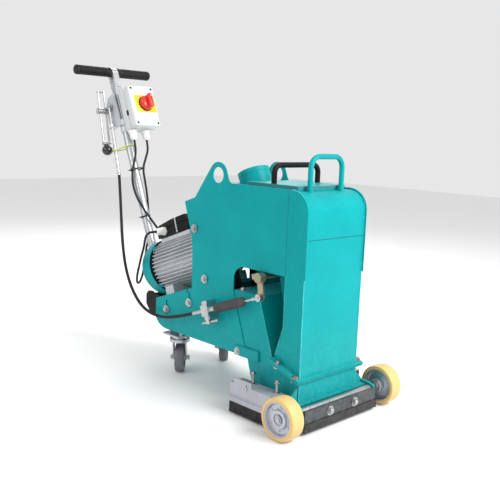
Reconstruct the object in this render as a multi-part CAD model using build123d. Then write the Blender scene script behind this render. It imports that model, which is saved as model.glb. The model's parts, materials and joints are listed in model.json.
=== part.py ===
from build123d import *
import math
import os

# Walk-behind floor shot blaster, in millimetres.
# X runs across the machine, +Y towards the operator, +Z up.
# The model is drawn with y = 0 at the front axle and is moved on export, so that the
# origin lies on the floor under the middle of the overall box.

# ---- driving dimensions ----
tilt = 20.0            # lean of the blast chute, and slope of the drive line
mast_lean = 23.07      # lean of the steering mast from the vertical
sheet = 3.0            # casing sheet
plate_wall = 4.0       # blast housing and mouth wall
half_casing = 134.0    # half width over the side plates
half_duct = 131.0      # half width of plenum, chute and mouth
duct_front = 31.5      # front face of the plenum
duct_rear = 103.5      # rear wall of the plenum
window_top = 436.0     # lower edge of the side plate above the plenum
seam = 548.0           # joint between plenum and front cover
plate_top = 688.0      # top edge of the side plates
carrier_low = 69.0     # underside of the seal carrier plate
carrier_high = 75.0
chute_top = 352.0      # top of the blast housing
chute_front = 206.3    # front of the blast housing at its top
chute_rear = 320.7     # rear of the blast housing at its top
wheel_y = 219.0        # centre of the blast wheel
wheel_z = 229.8
blast_r = 95.0         # blast wheel radius
motor_up = 308.5       # motor axis above the wheel axis, square to both
motor_base_up = 184.5  # top edge of the tail above the wheel axis, square to it
belt_back = 128.0      # belt plane behind the wheel centre, along the shaft
motor_r = 98.0         # motor over its fins
tyre_r = 62.5
tyre_in = 205.7        # inner and outer side of the front tyres
tyre_out = 253.7
caster_r = 50.0
caster_x = 104.0
caster_y = 648.0
swivel_y = 618.0
caster_turn = -44.0       # how the casters stand at rest
mast_y = 974.0         # a point on the mast axis, the zero of the mast frame
mast_z = 516.0
mast_r = 16.0
stem_r = 13.0
bar_up = 590.0         # handle bar along the mast from that point
grip_half = 169.0
fit = 0.05             # radial running clearance of shafts

sin_t = math.sin(math.radians(tilt))
cos_t = math.cos(math.radians(tilt))
tan_t = sin_t / cos_t
lean_sin = math.sin(math.radians(mast_lean))
lean_cos = math.cos(math.radians(mast_lean))

# The overall box runs from the front tyres to the back of the grips.
grip_r = 19.0
bar_y = mast_y + bar_up * lean_sin
centre_y = (bar_y + grip_r - tyre_r) / 2

# Drive frame: X across, Y up along the chute, Z forward along the wheel shaft.
drive = Plane(origin=(0, wheel_y, wheel_z), x_dir=(1, 0, 0), z_dir=(0, -cos_t, sin_t))
# Mast frame: X across, Y backwards, Z up the tube.
mast = Plane(origin=(0, mast_y, mast_z), x_dir=(1, 0, 0), z_dir=(0, lean_sin, lean_cos))
# Push frame: Z forward along the push rod, beside the right side plate.
push_x = -165.0
push = Plane(origin=(push_x, 423, 273.5), x_dir=(1, 0, 0), z_dir=(0, -cos_t, sin_t))

os.makedirs("parts", exist_ok=True)


def save(name, *solids):
    group = solids[0] if len(solids) == 1 else Compound(children=list(solids))
    export_step(Pos(0, -centre_y, 0) * group, f"parts/{name}.step")


def outline(points, corners=()):
    face = make_face(Polyline(*points, close=True))
    for place, radius in corners:
        near = sorted(face.vertices(), key=lambda v: (v.X - place[0]) ** 2 + (v.Y - place[1]) ** 2)
        face = fillet(near[0], radius)
    return face


def prism(face, x0, x1):
    return extrude(Plane.YZ.offset(x0) * face, amount=x1 - x0)


def block(x0, x1, y0, y1, z0, z1):
    return Pos((x0 + x1) / 2, (y0 + y1) / 2, (z0 + z1) / 2) * Box(x1 - x0, y1 - y0, z1 - z0)


def rod(radius, start, end):
    line = Vector(*end) - Vector(*start)
    return Plane(origin=start, z_dir=line) * Pos(0, 0, line.length / 2) * Cylinder(radius, line.length)


def tube(outer, inner, start, end):
    return rod(outer, start, end) - rod(inner, start, end)


def along_x(radius, x0, x1, y, z):
    return Pos((x0 + x1) / 2, y, z) * Rot(0, 90, 0) * Cylinder(radius, x1 - x0)


def hex_x(across, x0, x1, y, z):
    head = extrude(RegularPolygon(across / 2, 6, major_radius=False), amount=x1 - x0)
    return Pos(x0, y, z) * Rot(0, 90, 0) * head


def hex_z(across, z0, z1, x, y):
    return Pos(x, y, z0) * extrude(RegularPolygon(across / 2, 6, major_radius=False), amount=z1 - z0)


def both(shape):
    return [shape, mirror(shape, Plane.YZ)]


def shaft(radius, back0, back1, up=0.0, x=0.0):
    # a cylinder along the drive line, between two distances behind the wheel centre
    return drive * Pos(x, up, -(back0 + back1) / 2) * Cylinder(radius, back1 - back0)


def ring(outer, inner, back0, back1, up=0.0):
    return shaft(outer, back0, back1, up) - shaft(inner, back0 - 1, back1 + 1, up)


def joint_line(y):
    # slope of the flange joint between plenum and mouth
    return 137.0 + (y - 14.0) * tan_t


def tail_top(y):
    return wheel_z + (motor_base_up - (y - wheel_y) * sin_t) / cos_t


def chute_line(top_y, z):
    return top_y - (chute_top - z) * tan_t


def bent_route(points):
    # straight runs joined by arcs as large as the shorter run beside each point allows
    places = [Vector(*p) for p in points]
    radii = []
    for before, here, after in zip(places, places[1:], places[2:]):
        first = here - before
        second = after - here
        half_turn = math.radians(first.get_angle(second)) / 2
        radii.append(0.45 * min(first.length, second.length) / math.tan(half_turn))
    return FilletPolyline(*points, radius=radii), radii


def cord(points, radius, name):
    path, radii = bent_route(points)
    start = Plane(origin=path @ 0, z_dir=path % 0)
    solid = sweep(start * Circle(radius), path=path)
    section = math.pi * radius ** 2
    print(name, "length", round(path.length), "radii", [round(r) for r in radii],
          "volume share", round(solid.volume / (section * path.length), 4))
    return solid


# ---- side plates ----
eye_y, eye_z, eye_r, eye_hole = 407.0, 709.5, 41.0, 25.0
shoulder_y = eye_y + eye_r * 0.8
shoulder_z = eye_z + eye_r * 0.6
tail_rear = 719.0
plate_low = 158.0
slot_width, slot_length = 12.0, 52.0
tail_bolts = [(533.9, 275.9), (655.2, 228.7)]
plate_points = [
    (26, window_top), (26, plate_top), (354, plate_top), (368.5, 723.5), (eye_y, eye_z),
    (shoulder_y, shoulder_z), (shoulder_y + 78, shoulder_z - 104), (570, 612), (531, 505),
    (524, 450), (524, tail_top(524)), (tail_rear, tail_top(tail_rear)), (tail_rear, 188),
    (702, 170), (672, plate_low), (chute_line(chute_rear, plate_low), plate_low),
    (chute_rear, chute_top), (chute_rear, window_top),
]
plate_corners = [
    ((26, plate_top), 65), ((354, plate_top), 22), ((524, tail_top(524)), 22),
    ((chute_rear, window_top), 42), ((531, 505), 60), ((570, 612), 5),
    ((shoulder_y + 78, shoulder_z - 104), 8), ((672, plate_low), 50),
]
plate_face = outline(plate_points, plate_corners)
plate_face += Pos(eye_y, eye_z) * Circle(eye_r)
plate_face -= Pos(eye_y, eye_z) * Circle(eye_hole)
for slot_y, slot_z in tail_bolts:
    plate_face -= Pos(slot_y, slot_z + 8) * Rot(0, 0, 90) * SlotOverall(slot_length, slot_width)
plate_right = prism(plate_face, -half_casing, -half_duct)
save("side_plate_right", plate_right)
save("side_plate_left", mirror(plate_right, Plane.YZ))

# ---- plenum with its bottom flange ----
flange_half = 152.0
flange_front, flange_back = 20.0, 139.0
flange_t = 6.0
flange_plane = Plane(origin=(0, 0, joint_line(0)), x_dir=(1, 0, 0), z_dir=(0, -sin_t, cos_t))


def flange_ring(below):
    front, back = flange_front / cos_t, flange_back / cos_t
    middle = flange_t / 2 * (-1 if below else 1)
    plate = Pos(0, (front + back) / 2, middle) * Box(2 * flange_half, back - front, flange_t)
    inner0, inner1 = (duct_front + sheet) / cos_t, (duct_rear + 24) / cos_t
    opening = Pos(0, (inner0 + inner1) / 2, middle)
    opening *= Box(2 * (half_duct - plate_wall), inner1 - inner0, 2 * flange_t)
    ring_plate = plate - opening
    for bolt_y in (38.8, 110.6):
        for side in (-1, 1):
            ring_plate -= Pos(side * 143, bolt_y / cos_t, 0) * Cylinder(4.3, 4 * flange_t)
    return flange_plane * ring_plate


duct_points = [
    (duct_front, seam), (duct_front, joint_line(duct_front)), (134, joint_line(134)),
    (duct_rear, 277), (duct_rear, seam),
]
duct_inner = [
    (duct_front + sheet, seam + 9), (duct_front + sheet, 100), (131, 100), (131, 186),
    (duct_rear - sheet, 278), (duct_rear - sheet, seam + 9),
]
plenum = prism(outline(duct_points), -half_duct, half_duct)
plenum += flange_ring(below=False)
plenum -= prism(outline(duct_inner), -half_duct + sheet, half_duct - sheet)
save("plenum_duct", plenum)

# ---- mouth with the seal carrier plate and the axle arms ----
mouth_top = (chute_front - chute_top * tan_t + (137 - 14 * tan_t) * tan_t) / (1 - tan_t ** 2)
mouth_points = [
    (duct_front, carrier_high), (duct_front, joint_line(duct_front)),
    (mouth_top, joint_line(mouth_top)), (chute_line(chute_front, carrier_high), carrier_high),
]
inside = half_duct - plate_wall
mouth_inner = [(duct_front + plate_wall, 60), (duct_front + plate_wall, 220), (240, 220), (240, 60)]
mouth = prism(outline(mouth_points), -half_duct, half_duct)
mouth += flange_ring(below=True)
mouth += block(-178, 178, 16, 238, carrier_low, carrier_high)
chute_back_low = chute_line(chute_rear, carrier_high)
opening_back = chute_back_low - plate_wall / cos_t
mouth -= prism(outline(mouth_inner), -inside, inside) & block(-200, 200, 0, opening_back, 0, 240)
axle_r, journal_r = 12.0, 10.0
arm_points = [(-16, 50), (0, 44.5), (40, 52), (77, carrier_low), (77, carrier_high), (60, 86), (0, 80.5), (-16, 74)]
for side in (-1, 1):
    arm = prism(outline(arm_points), 164, 172)
    web_face = make_face(Polyline((half_duct, 120), (166, 88), (166, 72), (half_duct, 72), close=True))
    arm += Plane.XZ.offset(-40) * extrude(web_face, amount=6)
    mouth += arm if side > 0 else mirror(arm, Plane.YZ)
mouth -= along_x(axle_r, -180, 180, 0, tyre_r)
save("mouth_box", mouth)

# ---- blast housing, its bolted top and its liners ----
housing_points = [
    (chute_front, chute_top), (chute_rear, chute_top),
    (chute_line(chute_rear, carrier_high), carrier_high),
    (chute_line(chute_front, carrier_high), carrier_high),
]
thick = plate_wall / cos_t
hollow_points = [
    (chute_line(chute_front, 380) + thick, 380), (chute_line(chute_rear, 380) - thick, 380),
    (chute_line(chute_rear, 50) - thick, 50), (chute_line(chute_front, 50) + thick, 50),
]
front_gap = [(60, 50), (60, 176), (160, 176), (160, 50)]
housing = prism(outline(housing_points), -half_duct, half_duct)
for lug in both(block(-139, -half_duct, 196, 246, 156, 187)):
    housing += lug
for lug in both(block(-139, -half_casing - 0.05, 196, 300, 156, 187)):
    housing += lug
housing -= prism(outline(hollow_points), -inside, inside)
housing -= prism(outline(front_gap), -inside, inside)
cage_r, cage_bore = 36.0, 31.0
housing -= shaft(cage_r, -70, -40)
housing -= shaft(30, 40, 60)
save("wheel_housing", housing)

top_plate = block(-130.8, 130.8, 208, 324, chute_top, chute_top + 6)
save("housing_top_plate", top_plate)

liner_points = [
    (chute_line(chute_front, 340) + thick + 0.5, 340), (chute_line(chute_rear, 340) - thick - 0.5, 340),
    (chute_line(chute_rear, 110) - thick - 0.5, 110), (chute_line(chute_front, 110) + thick + 0.5, 110),
]
side_liner = prism(outline(liner_points), -inside, -inside + 7)
roof_points = [
    (chute_line(chute_front, 348) + thick + 0.5, 348), (chute_line(chute_rear, 348) - thick - 0.5, 348),
    (chute_line(chute_rear, 341) - thick - 0.5, 341), (chute_line(chute_front, 341) + thick + 0.5, 341),
]
roof_liner = prism(outline(roof_points), -inside, inside)
save("wear_liners", *both(side_liner), roof_liner)

# ---- front and top cover, bent from one sheet, with the lid collar ----
bend = 59.5
cover_top = plate_top - 5.5
cover_rear = 443.0
bend_y = duct_front + bend
outer_curve = [
    Line((duct_front, seam), (duct_front, cover_top - bend)),
    RadiusArc((duct_front, cover_top - bend), (bend_y, cover_top), bend),
    Line((bend_y, cover_top), (cover_rear, cover_top)),
    Line((cover_rear, cover_top), (cover_rear, cover_top - sheet)),
    Line((cover_rear, cover_top - sheet), (bend_y, cover_top - sheet)),
    RadiusArc((bend_y, cover_top - sheet), (duct_front + sheet, cover_top - bend), -(bend - sheet)),
    Line((duct_front + sheet, cover_top - bend), (duct_front + sheet, seam)),
    Line((duct_front + sheet, seam), (duct_front, seam)),
]
cover = prism(make_face(outer_curve), -half_duct, half_duct)
lid_front, lid_rear, lid_half = 92.0, 303.0, 107.0
collar = block(-lid_half + 3, lid_half - 3, lid_front + 3, lid_rear - 3, cover_top, plate_top + 1)
cover += collar
cover -= block(-lid_half + 18, lid_half - 18, lid_front + 18, lid_rear - 18, cover_top - 20, plate_top + 9)
cover += block(-half_duct + 3, half_duct - 3, 304, 307, 620, cover_top - sheet)
port_lean = 25.0
port_r, port_neck, port_bore = 52.5, 51.5, 49.5
port_dir = Vector(0, math.sin(math.radians(port_lean)), math.cos(math.radians(port_lean)))
port_rim = Vector(0, 388, 722)
port_foot = port_rim - port_dir * 72
port_collar = port_rim - port_dir * 14
cover -= rod(port_neck, tuple(port_foot - port_dir * 5), tuple(port_rim))
save("front_cover", cover)

port = rod(port_neck, tuple(port_foot), tuple(port_collar)) + rod(port_r, tuple(port_collar), tuple(port_rim))
port -= rod(port_bore, tuple(port_foot - port_dir * 5), tuple(port_rim + port_dir * 5))
save("dust_port", port)


def bow(half, rise, radius, bar, y, z):
    # a round bar bent to a lateral handle, standing on z
    path = FilletPolyline((-half, y, z), (-half, y, z + rise), (half, y, z + rise), (half, y, z), radius=radius)
    return sweep(Plane(origin=(-half, y, z), z_dir=(0, 0, 1)) * Circle(bar), path=path)


carry = bow(70, 107, 34, 8, 80, cover_top - 7)
carry -= along_x(bend, -100, 100, bend_y, cover_top - bend)
save("carry_handle", carry)

# ---- lid on its gasket ----
gasket = block(-lid_half + 2, lid_half - 2, lid_front + 2, lid_rear - 2, plate_top + 1, plate_top + 5)
gasket -= block(-lid_half + 16, lid_half - 16, lid_front + 16, lid_rear - 16, plate_top, plate_top + 6)
save("lid_gasket", gasket)
lid_low = plate_top + 5
lid_t = 4.0
lid = block(-lid_half, lid_half, lid_front, lid_rear, lid_low, lid_low + lid_t)
lid = fillet(lid.edges().filter_by(Axis.Z), 6)
save("lid", lid)
save("lid_handle", bow(97.5, 55, 24, 8.5, 198, lid_low + lid_t))

# ---- shot hopper with the separator tray ----
hopper_top, hopper_low = 600.0, 446.0
valve_y, valve_z = 187.0, 421.0
wide = Pos(0, (107 + 345) / 2, hopper_top) * Rectangle(2 * 130.5, 345 - 107)
narrow = Pos(0, valve_y, hopper_low) * Rectangle(64, 54)
wide_in = Pos(0, (109 + 343) / 2, hopper_top + 0.01) * Rectangle(2 * 128.5, 343 - 109)
narrow_in = Pos(0, valve_y, hopper_low - 0.01) * Rectangle(59, 49)
hopper = loft([narrow, wide]) - loft([narrow_in, wide_in])
hopper += block(-130.5, 130.5, 344, cover_rear, hopper_top - 2.5, hopper_top)
hopper += block(-130.5, 130.5, cover_rear - sheet, cover_rear, hopper_top - 2.5, cover_top - sheet)
save("shot_hopper", hopper)

# ---- feed valve and spout ----
valve_in = 29.0
spout_points = [
    (160, 398), (157, 350), (149, 298), (133, 250), (138.2, 212.6), (153, 206.8),
    (chute_line(chute_front, 340) - 0.2, 340), (204.5, 356), (214, 398),
]
spout_inner = [
    (163, 420), (163, 398), (160, 350), (152, 297), (136.4, 250), (141, 216), (170, 200),
    (220, 340), (201.5, 356), (211, 398), (211, 420),
]
spout = prism(outline(spout_points), -36, 36)
spout += block(-36, 36, 160, 214, 398, hopper_low)
spout -= prism(outline(spout_inner), -33, 33) & prism(outline(spout_points), -33, 33)
spout -= block(-33, 33, 163, 211, 390, hopper_low + 5)
flap_r = 7.0
spout -= along_x(flap_r + fit, -60, 60, valve_y, valve_z)
spout -= shaft(38.3, -75, -54.5) + shaft(cage_r + 0.2, -60, -40)
save("feed_spout", spout)

shaft_end = -164.0
gate = along_x(flap_r, shaft_end, 40, valve_y, valve_z)
gate += block(-31, 31, valve_y - 22, valve_y + 22, valve_z - 2, valve_z + 2)

# ---- blast wheel, blades, control cage, wheel shaft and bearings ----
cage = ring(cage_r - 0.2, cage_bore, -60, 18) + ring(38.0, cage_bore, -60, -55)
cage -= drive * Pos(0, -34, 4) * Box(34, 30, 34)
save("control_cage", cage)

disc_bore = 42.0
blades = 6
wheel = shaft(blast_r, 25, 33)
wheel += ring(blast_r, disc_bore, -35, -27)
wheel += shaft(26, -45, 25)
wheel += shaft(24, 33, 44)
for i in range(blades):
    angle = math.radians(360 / blades * (i + 0.5))
    wheel += shaft(5, -30, 28, 70 * math.sin(angle), 70 * math.cos(angle))
bore = shaft(15, 0, 60)
wheel -= bore
save("blast_wheel", wheel)

blade_list = []
for i in range(blades):
    blade = Rot(0, 0, 360 / blades * i) * Pos((46 + blast_r - 1) / 2, 0, 1) * Box(blast_r - 47, 8, 52)
    blade_list.append(drive * blade)
save("wheel_blades", *blade_list)


def pulley(radius, up):
    body = shaft(radius, belt_back - 16, belt_back + 16, up)
    for offset in (-7, 7):
        body -= ring(radius + 5, radius - 9, belt_back + offset - 5.5, belt_back + offset + 5.5, up)
    return body


wheel_pulley_r, motor_pulley_r = 36.0, 45.0
spindle = shaft(15, 0, belt_back + 20)
save("wheel_shaft", spindle, pulley(wheel_pulley_r, 0) - shaft(15, 0, 200))

bearing_r = 31.0
hub_case = shaft(52, 53.8, 62) + shaft(39, 62, 106)
hub_case -= shaft(18, 40, 120)
hub_case -= shaft(bearing_r, 58, 76)
hub_case -= shaft(bearing_r, 88, 106)
save("bearing_housing", hub_case, ring(bearing_r, 15 + fit, 58, 76), ring(bearing_r, 15 + fit, 88, 106))


def belt_face(radius_low, radius_high):
    lean = math.asin((radius_low - radius_high) / motor_up)
    points = [
        (radius_low * math.cos(lean), radius_low * math.sin(lean)),
        (radius_high * math.cos(lean), motor_up + radius_high * math.sin(lean)),
        (-radius_high * math.cos(lean), motor_up + radius_high * math.sin(lean)),
        (-radius_low * math.cos(lean), radius_low * math.sin(lean)),
    ]
    return make_face(Polyline(*points, close=True)) + Circle(radius_low) + Pos(0, motor_up) * Circle(radius_high)


belts = []
for offset in (-7, 7):
    band = belt_face(wheel_pulley_r + 0.5, motor_pulley_r + 0.5) - belt_face(wheel_pulley_r - 8, motor_pulley_r - 8)
    belts.append(drive * Pos(0, 0, -belt_back - offset - 4.7) * extrude(band, amount=9.4))
save("drive_belts", *belts)

# ---- motor ----
frame_front, frame_back = 190.0, 500.0
core_r, bore_r = 84.0, 76.0
fins = 44
motor_frame = shaft(core_r, frame_front, frame_back, motor_up)
for i in range(fins):
    fin = Rot(0, 0, 360 / fins * i) * Pos((core_r + motor_r) / 2 - 1, 0, 0) * Box(motor_r - core_r + 2, 3, frame_back - frame_front - 8)
    motor_frame += drive * Pos(0, motor_up, -(frame_front + frame_back) / 2) * fin
foot_low = motor_base_up + 12
for back in (245, 425):
    foot = drive * Pos(0, foot_low + 16, -back) * Box(190, 32, 46)
    motor_frame += foot
motor_frame += drive * Pos(0, motor_up + 88, -390) * Box(104, 16, 168)
motor_frame -= drive * Pos(0, motor_up + 100, -390) * Box(124, 8, 184)
motor_frame -= shaft(bore_r, frame_front - 1, frame_back + 1, motor_up)

rotor_r = 14.0
drive_end = shaft(90, 178, frame_front, motor_up) + shaft(38, 170, 178, motor_up)
drive_end -= shaft(rotor_r + fit, 160, 200, motor_up)
rear_end = shaft(88, frame_back, 506, motor_up) - shaft(rotor_r + fit, 490, 520, motor_up)
save("motor_frame", motor_frame, drive_end, rear_end)

rotor = shaft(rotor_r, 108, 546, motor_up)
rotor += shaft(50, 225, 465, motor_up)
motor_pulley = pulley(motor_pulley_r, motor_up) - shaft(rotor_r, 100, 160, motor_up)
save("motor_rotor", rotor, motor_pulley)

fan = shaft(30, 516, 522, motor_up) + shaft(22, 516, 546, motor_up)
for i in range(7):
    blade = Rot(0, 0, 360 / 7 * i) * Pos(50, 0, 0) * Box(64, 3, 24)
    fan += drive * Pos(0, motor_up, -532) * blade
fan -= shaft(rotor_r, 500, 560, motor_up)
save("cooling_fan", fan)

cowl_r, cowl_front, cowl_back = 101.0, 509.0, 574.0
cowl_profile = [
    (cowl_r, -cowl_front), (cowl_r, -546), (cowl_r - 4, -562), (cowl_r - 14, -cowl_back + 2),
    (cowl_r - 24, -cowl_back), (0, -cowl_back), (0, -cowl_back + 2.5), (cowl_r - 26, -cowl_back + 2.5),
    (cowl_r - 16, -cowl_back + 5), (cowl_r - 7, -560), (cowl_r - 2.5, -545), (cowl_r - 2.5, -cowl_front),
]
cowl_face = Plane.XZ * make_face(Polyline(*cowl_profile, close=True))
cowl = revolve(cowl_face, axis=Axis.Z)
for radius, count in ((22, 6), (40, 10), (58, 14)):
    for i in range(count):
        cowl -= Rot(0, 0, 360 / count * i) * Pos(radius, 0, -cowl_back) * Cylinder(5, 20)
for i in range(4):
    cowl += Rot(0, 0, 45 + 90 * i) * Pos(cowl_r - 5.5, 0, -(cowl_front - 2)) * Box(7, 14, 14)
save("fan_cowl", drive * Pos(0, motor_up, 0) * cowl)

base = drive * Pos(0, motor_base_up + 6, -333.5) * Box(2 * half_casing, 12, 257)
for side in (-1, 1):
    flank = drive * Pos(side * 128.8, motor_base_up - 30, -333.5) * Box(4, 60, 240)
    for slot_y, slot_z in tail_bolts:
        flank -= along_x(5.3, side * 129 - 10, side * 129 + 10, slot_y, slot_z)
    base += flank
for side in (-1, 1):
    base -= block(side * 136 - 5.1, side * 136 + 5.1, 400, 550, 250, 500)
save("motor_base", base)

box_points = [(300, 96), (300, 153), (384, 153), (470, 146), (480, 136), (480, 96)]
box_face = make_face(Polyline(*[(motor_up + u, back) for back, u in box_points], close=True))
terminal = extrude(Plane(origin=(0, 0, 0), x_dir=(0, 1, 0), z_dir=(1, 0, 0)) * box_face, amount=60, both=True)
turned = Plane(origin=(0, wheel_y, wheel_z), x_dir=(1, 0, 0), z_dir=(0, cos_t, -sin_t))
terminal = turned * Rot(0, 0, 180) * terminal
terminal = fillet(terminal.edges().group_by(Axis.X)[0] + terminal.edges().group_by(Axis.X)[-1], 5)
save("terminal_box", terminal)

# ---- tail floor with the rear wall, and the mast foot ----
floor = block(-half_duct, half_duct, 400, 716, plate_low + 2, plate_low + 7)
floor += block(-half_duct, half_duct, 711, 716, plate_low + 2, 226)
floor -= block(-150, 150, 690, 716, 150, 176) - block(-150, 150, 600, 711, 165, 180)
floor += block(-half_duct, half_duct, 690, 716, 176, 181) + block(-half_duct, half_duct, 687, 690, plate_low + 2, 181)
save("tail_floor", floor)

foot_z = 218.0
foot_y = mast_y - (mast_z - foot_z) * lean_sin / lean_cos
foot_points = [
    (716, 172), (716, 228), (800, 236), (824, 236), (848, 248), (870, 246), (882, 232), (882, 196),
    (858, 168), (740, 164),
]
foot_face = outline(foot_points, [((882, 232), 8), ((882, 196), 14)])
cheek = prism(foot_face, -58, -51)
foot = block(-58, 58, 716, 723, 176, 230)
foot = foot + both(cheek)[0] + both(cheek)[1]
foot += along_x(22, -58, 58, foot_y, foot_z)
socket = mast * Pos(0, 0, -329) * Cylinder(21, 48)
foot += socket
foot -= mast * Pos(0, 0, -295) * Cylinder(mast_r, 100)
save("mast_foot", foot)

mast_top = 389.0
tube_low = -345.0
mast_body = mast * Pos(0, 0, (mast_top + tube_low) / 2) * Cylinder(mast_r, mast_top - tube_low)
mast_body -= mast * Pos(0, 0, (mast_top + tube_low) / 2) * Cylinder(stem_r + fit, mast_top - tube_low + 4)
save("mast_tube", mast_body)

# ---- handle: stem, clamped cross bar and grips ----
stem_low = 210.0
stem = Pos(0, 0, (bar_up - 12 + stem_low) / 2) * Cylinder(stem_r, bar_up - 12 - stem_low)
stem += Pos(0, 0, bar_up) * Rot(0, 90, 0) * Cylinder(11, 2 * grip_half - 6)
stem += fillet((Pos(0, 0, 473.2) * Box(29, 29, 168)).edges().filter_by(Axis.Z), 3)
strap = Pos(0, 0, bar_up) * Rot(0, 90, 0) * Cylinder(17, 26)
strap += Pos(0, 0, bar_up - 36) * Box(26, 34, 60)
strap = fillet(strap.edges().group_by(Axis.Z)[0], 3)
stem += strap
save("handle_stem", mast * stem)
grips = []
for side in (-1, 1):
    grip = Pos(side * (grip_half + 15) / 2, 0, bar_up) * Rot(0, 90, 0) * Cylinder(grip_r, grip_half - 15)
    grip = fillet(grip.edges(), 4)
    grip -= Pos(side * (grip_half + 15) / 2 - side * 4, 0, bar_up) * Rot(0, 90, 0) * Cylinder(11, grip_half - 13)
    grips.append(mast * grip)
save("handle_grips", *grips)

# ---- control lever and its bracket on the mast ----


def on_mast(x, back, up):
    return (x, mast_y + back * lean_cos + up * lean_sin, mast_z - back * lean_sin + up * lean_cos)


pivot_back, pivot_up = 50.0, 446.0
lever_x = -52.0
cable_x = -38.0
sleeve_top = Vector(cable_x, 1154, 856)
sleeve_foot = Vector(cable_x, 1099, 662)
pull = (sleeve_top - sleeve_foot).normalized()
pivot = Vector(*on_mast(cable_x, pivot_back, pivot_up))
nearest = sleeve_top + pull * (pivot - sleeve_top).dot(pull)
crank = (nearest - pivot).length
half_swing = 25.0
half_stroke = crank * math.tan(math.radians(half_swing))
pull_pin = nearest + pull * half_stroke
bracket = Pos(0, 0, 378) * Cylinder(21, 22) - block(-40, 40, -40, -16.9, 360, 400)
plate_points = [(-8, 367), (52, 367), (66, 400), (64, 462), (40, 496), (-2, 500), (-8, 440)]
bracket += Pos(-24, 0, 0) * extrude(Plane.YZ * make_face(Polyline(*plate_points, close=True)), amount=6)
bracket += Pos(-44, pivot_back, pivot_up) * Rot(0, 90, 0) * Cylinder(5, 66)
bracket += block(-48, -20, 22, 48, 367, 372)
bracket -= Pos(0, 0, 378) * Cylinder(mast_r, 40)
bracket = mast * bracket
bracket -= rod(6.5, tuple(sleeve_foot), tuple(sleeve_top + pull * 30))

lever_turn = 10.5
lever = Pos(lever_x, 0, 0) * Rot(0, 90, 0) * Cylinder(12, 46)
for offset in (-13, 13):
    lever += rod(4, (lever_x + offset, 0, 78), (lever_x + offset, 0, -132))
lever += rod(4, (lever_x - 17, 0, 76), (lever_x + 17, 0, 76))
lever += rod(7, (lever_x - 17, 0, -128), (lever_x + 17, 0, -128))
lever_place = mast * Pos(0, pivot_back, pivot_up) * Rot(lever_turn, 0, 0)
lever = lever_place * lever
crank_reach = (pull_pin - pivot).length
crank_turn = math.degrees(math.atan2(pivot.Y - pull_pin.Y, pull_pin.Z - pivot.Z))
web = Pos(0, 0, crank_reach / 2) * Box(5, 15, crank_reach)
web += Pos(0, 0, crank_reach) * Rot(0, 90, 0) * Cylinder(7.5, 5)
slot = Pos(0, 0, (crank + crank_reach) / 2) * Box(9, 7, crank_reach - crank + 1)
for reach in (crank - 0.5, crank_reach + 0.5):
    slot += Pos(0, 0, reach) * Rot(0, 90, 0) * Cylinder(3.5, 9)
web -= slot
lever += Pos(-31.5, pivot.Y, pivot.Z) * Rot(crank_turn, 0, 0) * web
lever -= along_x(5 + fit, -90, 0, pivot.Y, pivot.Z)
save("control_lever", lever)
knob = Pos(lever_x, 0, -154) * Sphere(21) - Pos(lever_x, 0, -128) * Rot(0, 90, 0) * Cylinder(7, 80)
for offset in (-13, 13):
    knob -= rod(4, (lever_x + offset, 0, 0), (lever_x + offset, 0, -132))
save("lever_knob", lever_place * knob)

# ---- push-pull cable, its fittings and boot ----
inner_r = 3.5
pull_rod = rod(inner_r, tuple(sleeve_top - pull * 62), tuple(pull_pin))
pull_rod += along_x(6.5, -41, -34.6, pull_pin.Y, pull_pin.Z)
pull_rod += along_x(3, -41, -27.5, pull_pin.Y, pull_pin.Z)
save("pull_rod", pull_rod)

cable_route = [
    tuple(sleeve_foot), (-54, 1066, 586), (-78, 1022, 494), (-100, 979, 404), (-122, 925, 325),
    (-142, 852, 258), (-156, 765, 212), (-163, 668, 203), (push_x, 575, 220),
    (push_x, 423 + 54 * cos_t, 273.5 - 54 * sin_t),
]
cable_r = 5.5
save("push_pull_cable", cord(cable_route, cable_r, "push-pull cable"))

upper_sleeve = rod(6.5, tuple(sleeve_foot + pull * 1.5), tuple(sleeve_top))
upper_sleeve -= rod(inner_r + fit, tuple(sleeve_top - pull * 95), tuple(sleeve_top + pull))
ferrule = push * Pos(0, 0, -25.5) * Cylinder(7, 55)
push_r = 4.0
saddle = push * Pos(0, 0, 18) * Box(26, 36, 32)
saddle += push * Pos(12, 0, 18) * Box(37.8, 60, 24)
saddle += push * Pos(0, 0, 42) * Cylinder(9, 38)
saddle += push * Pos(2, -38, 22) * Cylinder(5, 78)
saddle += push * Pos(2, -30, 18) * Box(20, 28, 14)
saddle -= push * Pos(0, 0, 31) * Cylinder(push_r + fit, 78)
save("cable_fittings", upper_sleeve, ferrule, saddle)

boot_low, boot_high = 61.0, 200.0
boot = push * Pos(0, 0, (boot_low + boot_high) / 2) * Cylinder(12.5, boot_high - boot_low)
ribs = 11
for i in range(ribs):
    boot += push * Pos(0, 0, boot_low + 6 + i * (boot_high - boot_low - 12) / (ribs - 1)) * Cylinder(15.5, 7)
boot -= push * Pos(0, 0, (boot_low + boot_high) / 2) * Cylinder(push_r + 0.4, 200)
save("cable_boot", boot)

pin_along = (423 - 177) / cos_t
pin_up = 273.5 + pin_along * sin_t
push_rod = push * Pos(0, 0, (12 + pin_along - 8) / 2) * Cylinder(push_r, pin_along - 20)
push_rod += push * Pos(0, 0, pin_along) * Rot(0, 90, 0) * Cylinder(11, 9)
push_rod += push * Pos(0, 0, pin_along - 17) * Cylinder(6, 20)
push_rod += push * Pos(5, 0, pin_along) * Rot(0, 90, 0) * Cylinder(4, 26)
save("push_rod", push_rod)

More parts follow.
